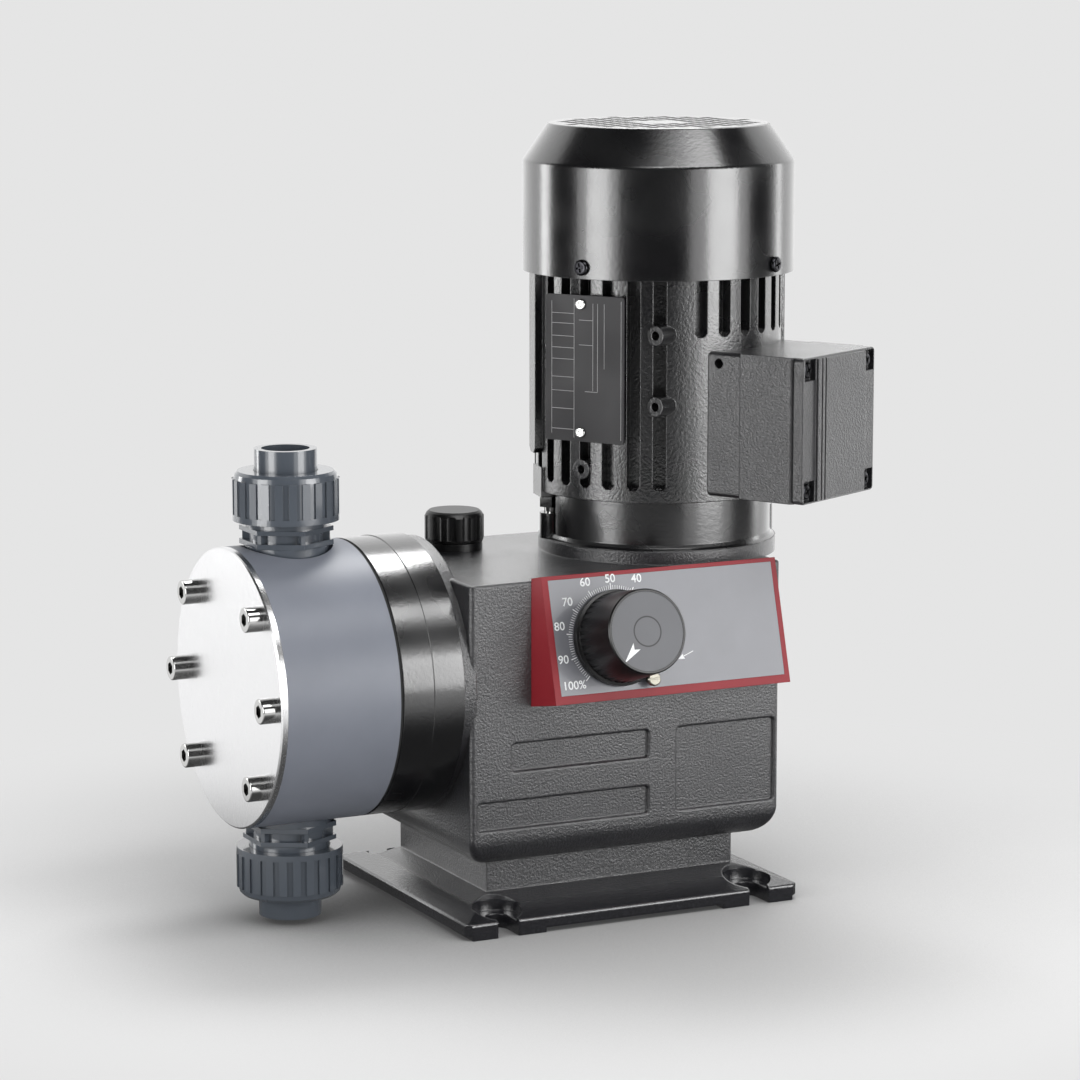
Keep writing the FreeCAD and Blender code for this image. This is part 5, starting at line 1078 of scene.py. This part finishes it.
@dataclass
class TerminalBox(SubAssembly):
    """Terminal box on the motor's side."""

    nodes: tuple[str, ...] = (
        "terminal_box_base", "terminal_box_frame", "terminal_cover", "terminal_cover_screws",
        "terminal_board",
    )
    special: dict[str, Finish] = field(default_factory=lambda: {
        "terminal_box_base": BOX_BLACK, "terminal_box_frame": BOX_BLACK, "terminal_cover": BOX_BLACK,
    })
    box_angle: float = -62.2
    screw: PanHead = PanHead(4.0, 2.6, turn=30.0)
    screw_reach: float = 111.0
    screw_across: float = 28.8
    screw_low: float = 225.5
    screw_high: float = 288.7

    def build(self) -> list[Piece]:
        """Makes the sunk screws of the cover.

        Returns:
            The four heads as one piece.
        """
        aside = Matrix.Rotation(math.radians(self.box_angle), 4, "Z")
        outwards = aside @ Matrix.Rotation(math.radians(90), 4, "Y")
        seats = []
        for side in (-self.screw_across, self.screw_across):
            for height in (self.screw_low, self.screw_high):
                middle = aside @ Vector((self.screw_reach, side, height)) + Vector((MOTOR_X, 0, 0))
                seats.append(Matrix.Translation(middle * MM) @ outwards)
        return [self.screw.set_of("terminal_cover_pan_heads", seats, BLACK_STEEL, "terminal_cover_screws")]


@dataclass(frozen=True)
class Softbox:
    """A soft studio lamp: its direction from the part in degrees, its distance and sizes in metres."""

    name: str
    azimuth: float
    elevation: float
    distance: float
    width: float
    height: float
    radiance: float

    def build(self, aim: Vector) -> None:
        """Adds the lamp.

        Args:
            aim: the point that it faces.
        """
        clear_selection()
        azimuth, elevation = math.radians(self.azimuth), math.radians(self.elevation)
        away = Vector((
            math.cos(azimuth) * math.cos(elevation),
            math.sin(azimuth) * math.cos(elevation),
            math.sin(elevation),
        ))
        bpy.ops.object.light_add(type="AREA", location=aim + away * self.distance)
        lamp = bpy.context.object
        lamp.name = self.name
        lamp.rotation_euler = away.to_track_quat("Z", "Y").to_euler()
        lamp.data.shape = "RECTANGLE"
        lamp.data.size = self.width
        lamp.data.size_y = self.height
        lamp.data.energy = self.radiance * math.pi * self.width * self.height
        lamp.visible_camera = False


@dataclass
class Studio:
    """Pale floor and surroundings, soft lamps, and the camera at the photograph's angle, all in metres."""

    # The tone of the background, and the light that the surroundings give.
    pale: float = 0.783
    ambient: float = 0.09
    # The floor: what lamps see of it, what the camera sees with painted shade around the part, and where that
    # fades to the background's tone.
    floor_radius: float = 14.0
    floor_sides: int = 96
    floor_albedo: float = 0.50
    shown_albedo: float = 0.74
    shadow_share: float = 0.05
    shade_reach: float = 0.36
    shade_samples: int = 8
    fade: Span = (0.24, 0.46)
    # What gloss sees: bright behind the part, dark on the camera's side, and a table whose glow dims under it
    # as painted shade.
    bright: float = 1.05
    dark: float = 0.03
    away: float = 62.5
    side_span: Span = (0.28, 0.42)
    table_front: float = 1.0
    table_span: Span = (-0.25, 0.10)
    table_under: float = 0.08
    table_clear: Span = (0.20, 0.52)
    table_edge: Span = (0.75, 1.25)
    # The camera.
    eye: Triple = (-0.90672, -1.80490, 0.52715)
    turn: float = -26.3
    pitch: float = 9.493
    lens: float = 127.62
    sensor: float = 36.0
    clip: Span = (0.05, 60.0)
    # The lamps, and the point that they face.
    aim: Triple = (0.0, 0.0, 0.22)
    boxes: tuple[Softbox, ...] = (
        Softbox("left_softbox", -169.0, 4.5, 1.1, 0.78, 0.58, 2.0),
        Softbox("left_core", -167.0, 4.5, 1.08, 0.38, 0.50, 4.6),
        Softbox("left_rim", 132.0, 4.5, 1.5, 0.32, 0.75, 5.0),
        Softbox("right_softbox", -63.0, 4.5, 1.1, 1.10, 0.58, 1.8),
        Softbox("right_core", -61.0, 4.5, 1.08, 0.50, 0.50, 4.7),
        Softbox("right_rim", 2.0, 4.5, 1.5, 0.22, 0.75, 2.6),
        Softbox("front_softbox", -66.0, 19.0, 1.46, 0.80, 0.35, 1.2),
        Softbox("overhead_softbox", -90.0, 56.0, 1.5, 1.60, 0.60, 1.5),
        Softbox("overhead_core", -83.0, 56.0, 1.48, 1.20, 0.34, 4.8),
        Softbox("back_softbox", 60.0, 60.0, 1.5, 0.75, 0.55, 10.5),
    )

    def toward_back(self, tree: Tree, vector: Socket) -> Socket:
        """Measures how far a vector leads away behind the part.

        Args:
            tree: the node tree.
            vector: the vector.

        Returns:
            Its length along the level direction that leads away behind.
        """
        behind = (math.cos(math.radians(self.away)), math.sin(math.radians(self.away)), 0.0)
        product = add(tree, "ShaderNodeVectorMath", {0: vector, 1: behind}, operation="DOT_PRODUCT")
        return product.outputs["Value"]

    def surroundings(self, tree: Tree, facing: Socket) -> Socket:
        """Gives what gloss sees in a direction: bright behind the part, dark on the camera's side.

        Args:
            tree: the node tree.
            facing: how squarely the direction leads away behind.

        Returns:
            The light's level.
        """
        return spread(tree, facing, self.side_span, (self.dark, self.bright))

    def shown_floor(self, tree: Tree, reach: Socket) -> Socket:
        """Makes the floor that the camera sees: it keeps the lamps' shadow near the part, deepened by painted
        shade from ambient occlusion, and fades to one pale tone.

        Args:
            tree: the floor's node tree.
            reach: the distance from the part's middle.

        Returns:
            The shader.
        """
        # Painted shade: ambient occlusion darkens the floor's colour near the part.
        shade = add(tree, "ShaderNodeAmbientOcclusion", {
            "Color": grey(self.shown_albedo), "Distance": self.shade_reach,
        }, samples=self.shade_samples).outputs["Color"]
        seen = add(tree, "ShaderNodeBsdfDiffuse", {"Color": shade}).outputs[0]
        close = add(tree, "ShaderNodeAddShader", {0: seen, 1: glow(tree, self.shadow_share)}).outputs[0]
        fade = spread(tree, reach, self.fade, curve=Curve.SMOOTH)
        return add(tree, "ShaderNodeMixShader", {0: fade, 1: close, 2: glow(tree, self.pale)}).outputs[0]

    def mirrored_floor(self, tree: Tree, place: Socket, reach: Socket) -> Socket:
        """Makes the floor that gloss sees: a pale table near the part, dimmed close under it by painted
        shade, and the surroundings farther out.

        Args:
            tree: the floor's node tree.
            place: the place on the floor.
            reach: its distance from the part's middle.

        Returns:
            The shader.
        """
        depth = self.toward_back(tree, place)
        side = self.surroundings(tree, compute(tree, "DIVIDE", depth, reach))
        top = spread(tree, depth, self.table_span, (self.table_front, self.bright))
        # Painted shade: the table's glow dims close under the part, where its shadow would fall.
        clear = spread(tree, reach, self.table_clear, (self.table_under, 1.0), Curve.SMOOTH)
        edge = spread(tree, reach, self.table_edge, curve=Curve.SMOOTH)
        return glow(tree, blend(tree, Blend.NUMBER, edge, compute(tree, "MULTIPLY", top, clear), side))

    def build_floor(self) -> None:
        """Adds the floor, which looks different to the camera, to gloss and to the lamps' light."""
        clear_selection()
        bpy.ops.mesh.primitive_circle_add(
            vertices=self.floor_sides, radius=self.floor_radius, fill_type="NGON", location=(0, 0, 0),
        )
        floor = bpy.context.object
        floor.name = "studio_floor"
        made = bpy.data.materials.new("studio_floor")
        tree = clean_tree(made)
        place = add(tree, "ShaderNodeTexCoord").outputs["Object"]
        reach = add(tree, "ShaderNodeVectorMath", {0: place}, operation="LENGTH").outputs["Value"]
        path = add(tree, "ShaderNodeLightPath").outputs
        sight = compute(tree, "MAXIMUM", path[Ray.CAMERA.value], path[Ray.TRANSMISSION.value])
        matt = add(tree, "ShaderNodeBsdfDiffuse", {"Color": grey(self.floor_albedo)}).outputs[0]
        shown = self.shown_floor(tree, reach)
        lit = add(tree, "ShaderNodeMixShader", {0: sight, 1: matt, 2: shown}).outputs[0]
        mirror = self.mirrored_floor(tree, place, reach)
        both = add(tree, "ShaderNodeMixShader", {0: path[Ray.GLOSSY.value], 1: lit, 2: mirror}).outputs[0]
        add(tree, "ShaderNodeOutputMaterial", {"Surface": both})
        floor.data.materials.append(made)

    def build_world(self) -> None:
        """Makes the surroundings pale to the camera, pale behind the part for gloss, and dim for light."""
        world = bpy.data.worlds.new("studio")
        bpy.context.scene.world = world
        tree = clean_tree(world)
        toward = add(tree, "ShaderNodeTexCoord").outputs["Generated"]
        back = self.surroundings(tree, self.toward_back(tree, toward))
        path = add(tree, "ShaderNodeLightPath").outputs
        gloss = compute(tree, "MAXIMUM", path[Ray.GLOSSY.value], path[Ray.TRANSMISSION.value])
        level = blend(tree, Blend.NUMBER, gloss, self.ambient, back)
        level = blend(tree, Blend.NUMBER, path[Ray.CAMERA.value], level, self.pale)
        sky = add(tree, "ShaderNodeBackground", {"Color": WHITE, "Strength": level})
        add(tree, "ShaderNodeOutputWorld", {"Surface": sky.outputs[0]})

    def build_camera(self) -> None:
        """Adds the camera at the photograph's place and angle."""
        clear_selection()
        bpy.ops.object.camera_add(
            location=self.eye,
            rotation=(math.radians(90 - self.pitch), 0, math.radians(self.turn)),
        )
        camera = bpy.context.object
        camera.name = "photo_camera"
        camera.data.sensor_width = self.sensor
        camera.data.lens = self.lens
        camera.data.clip_start, camera.data.clip_end = self.clip
        bpy.context.scene.camera = camera

    def build(self) -> None:
        """Builds the floor, the world, the lamps and the camera."""
        self.build_floor()
        self.build_world()
        for box in self.boxes:
            box.build(Vector(self.aim))
        self.build_camera()
        bpy.context.scene.view_settings.view_transform = "Standard"


def main() -> None:
    """Dresses and builds each sub-assembly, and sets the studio."""
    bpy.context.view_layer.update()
    for part in (LiquidEnd(), GearUnit(), StrokeControl(), MotorUnit(), TerminalBox()):
        part.dress()
        for piece in part.build():
            log.info("built %s: %d faces", piece.name, len(piece.data.polygons))
    Studio().build()
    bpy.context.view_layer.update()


if __name__ == "__main__":
    main()
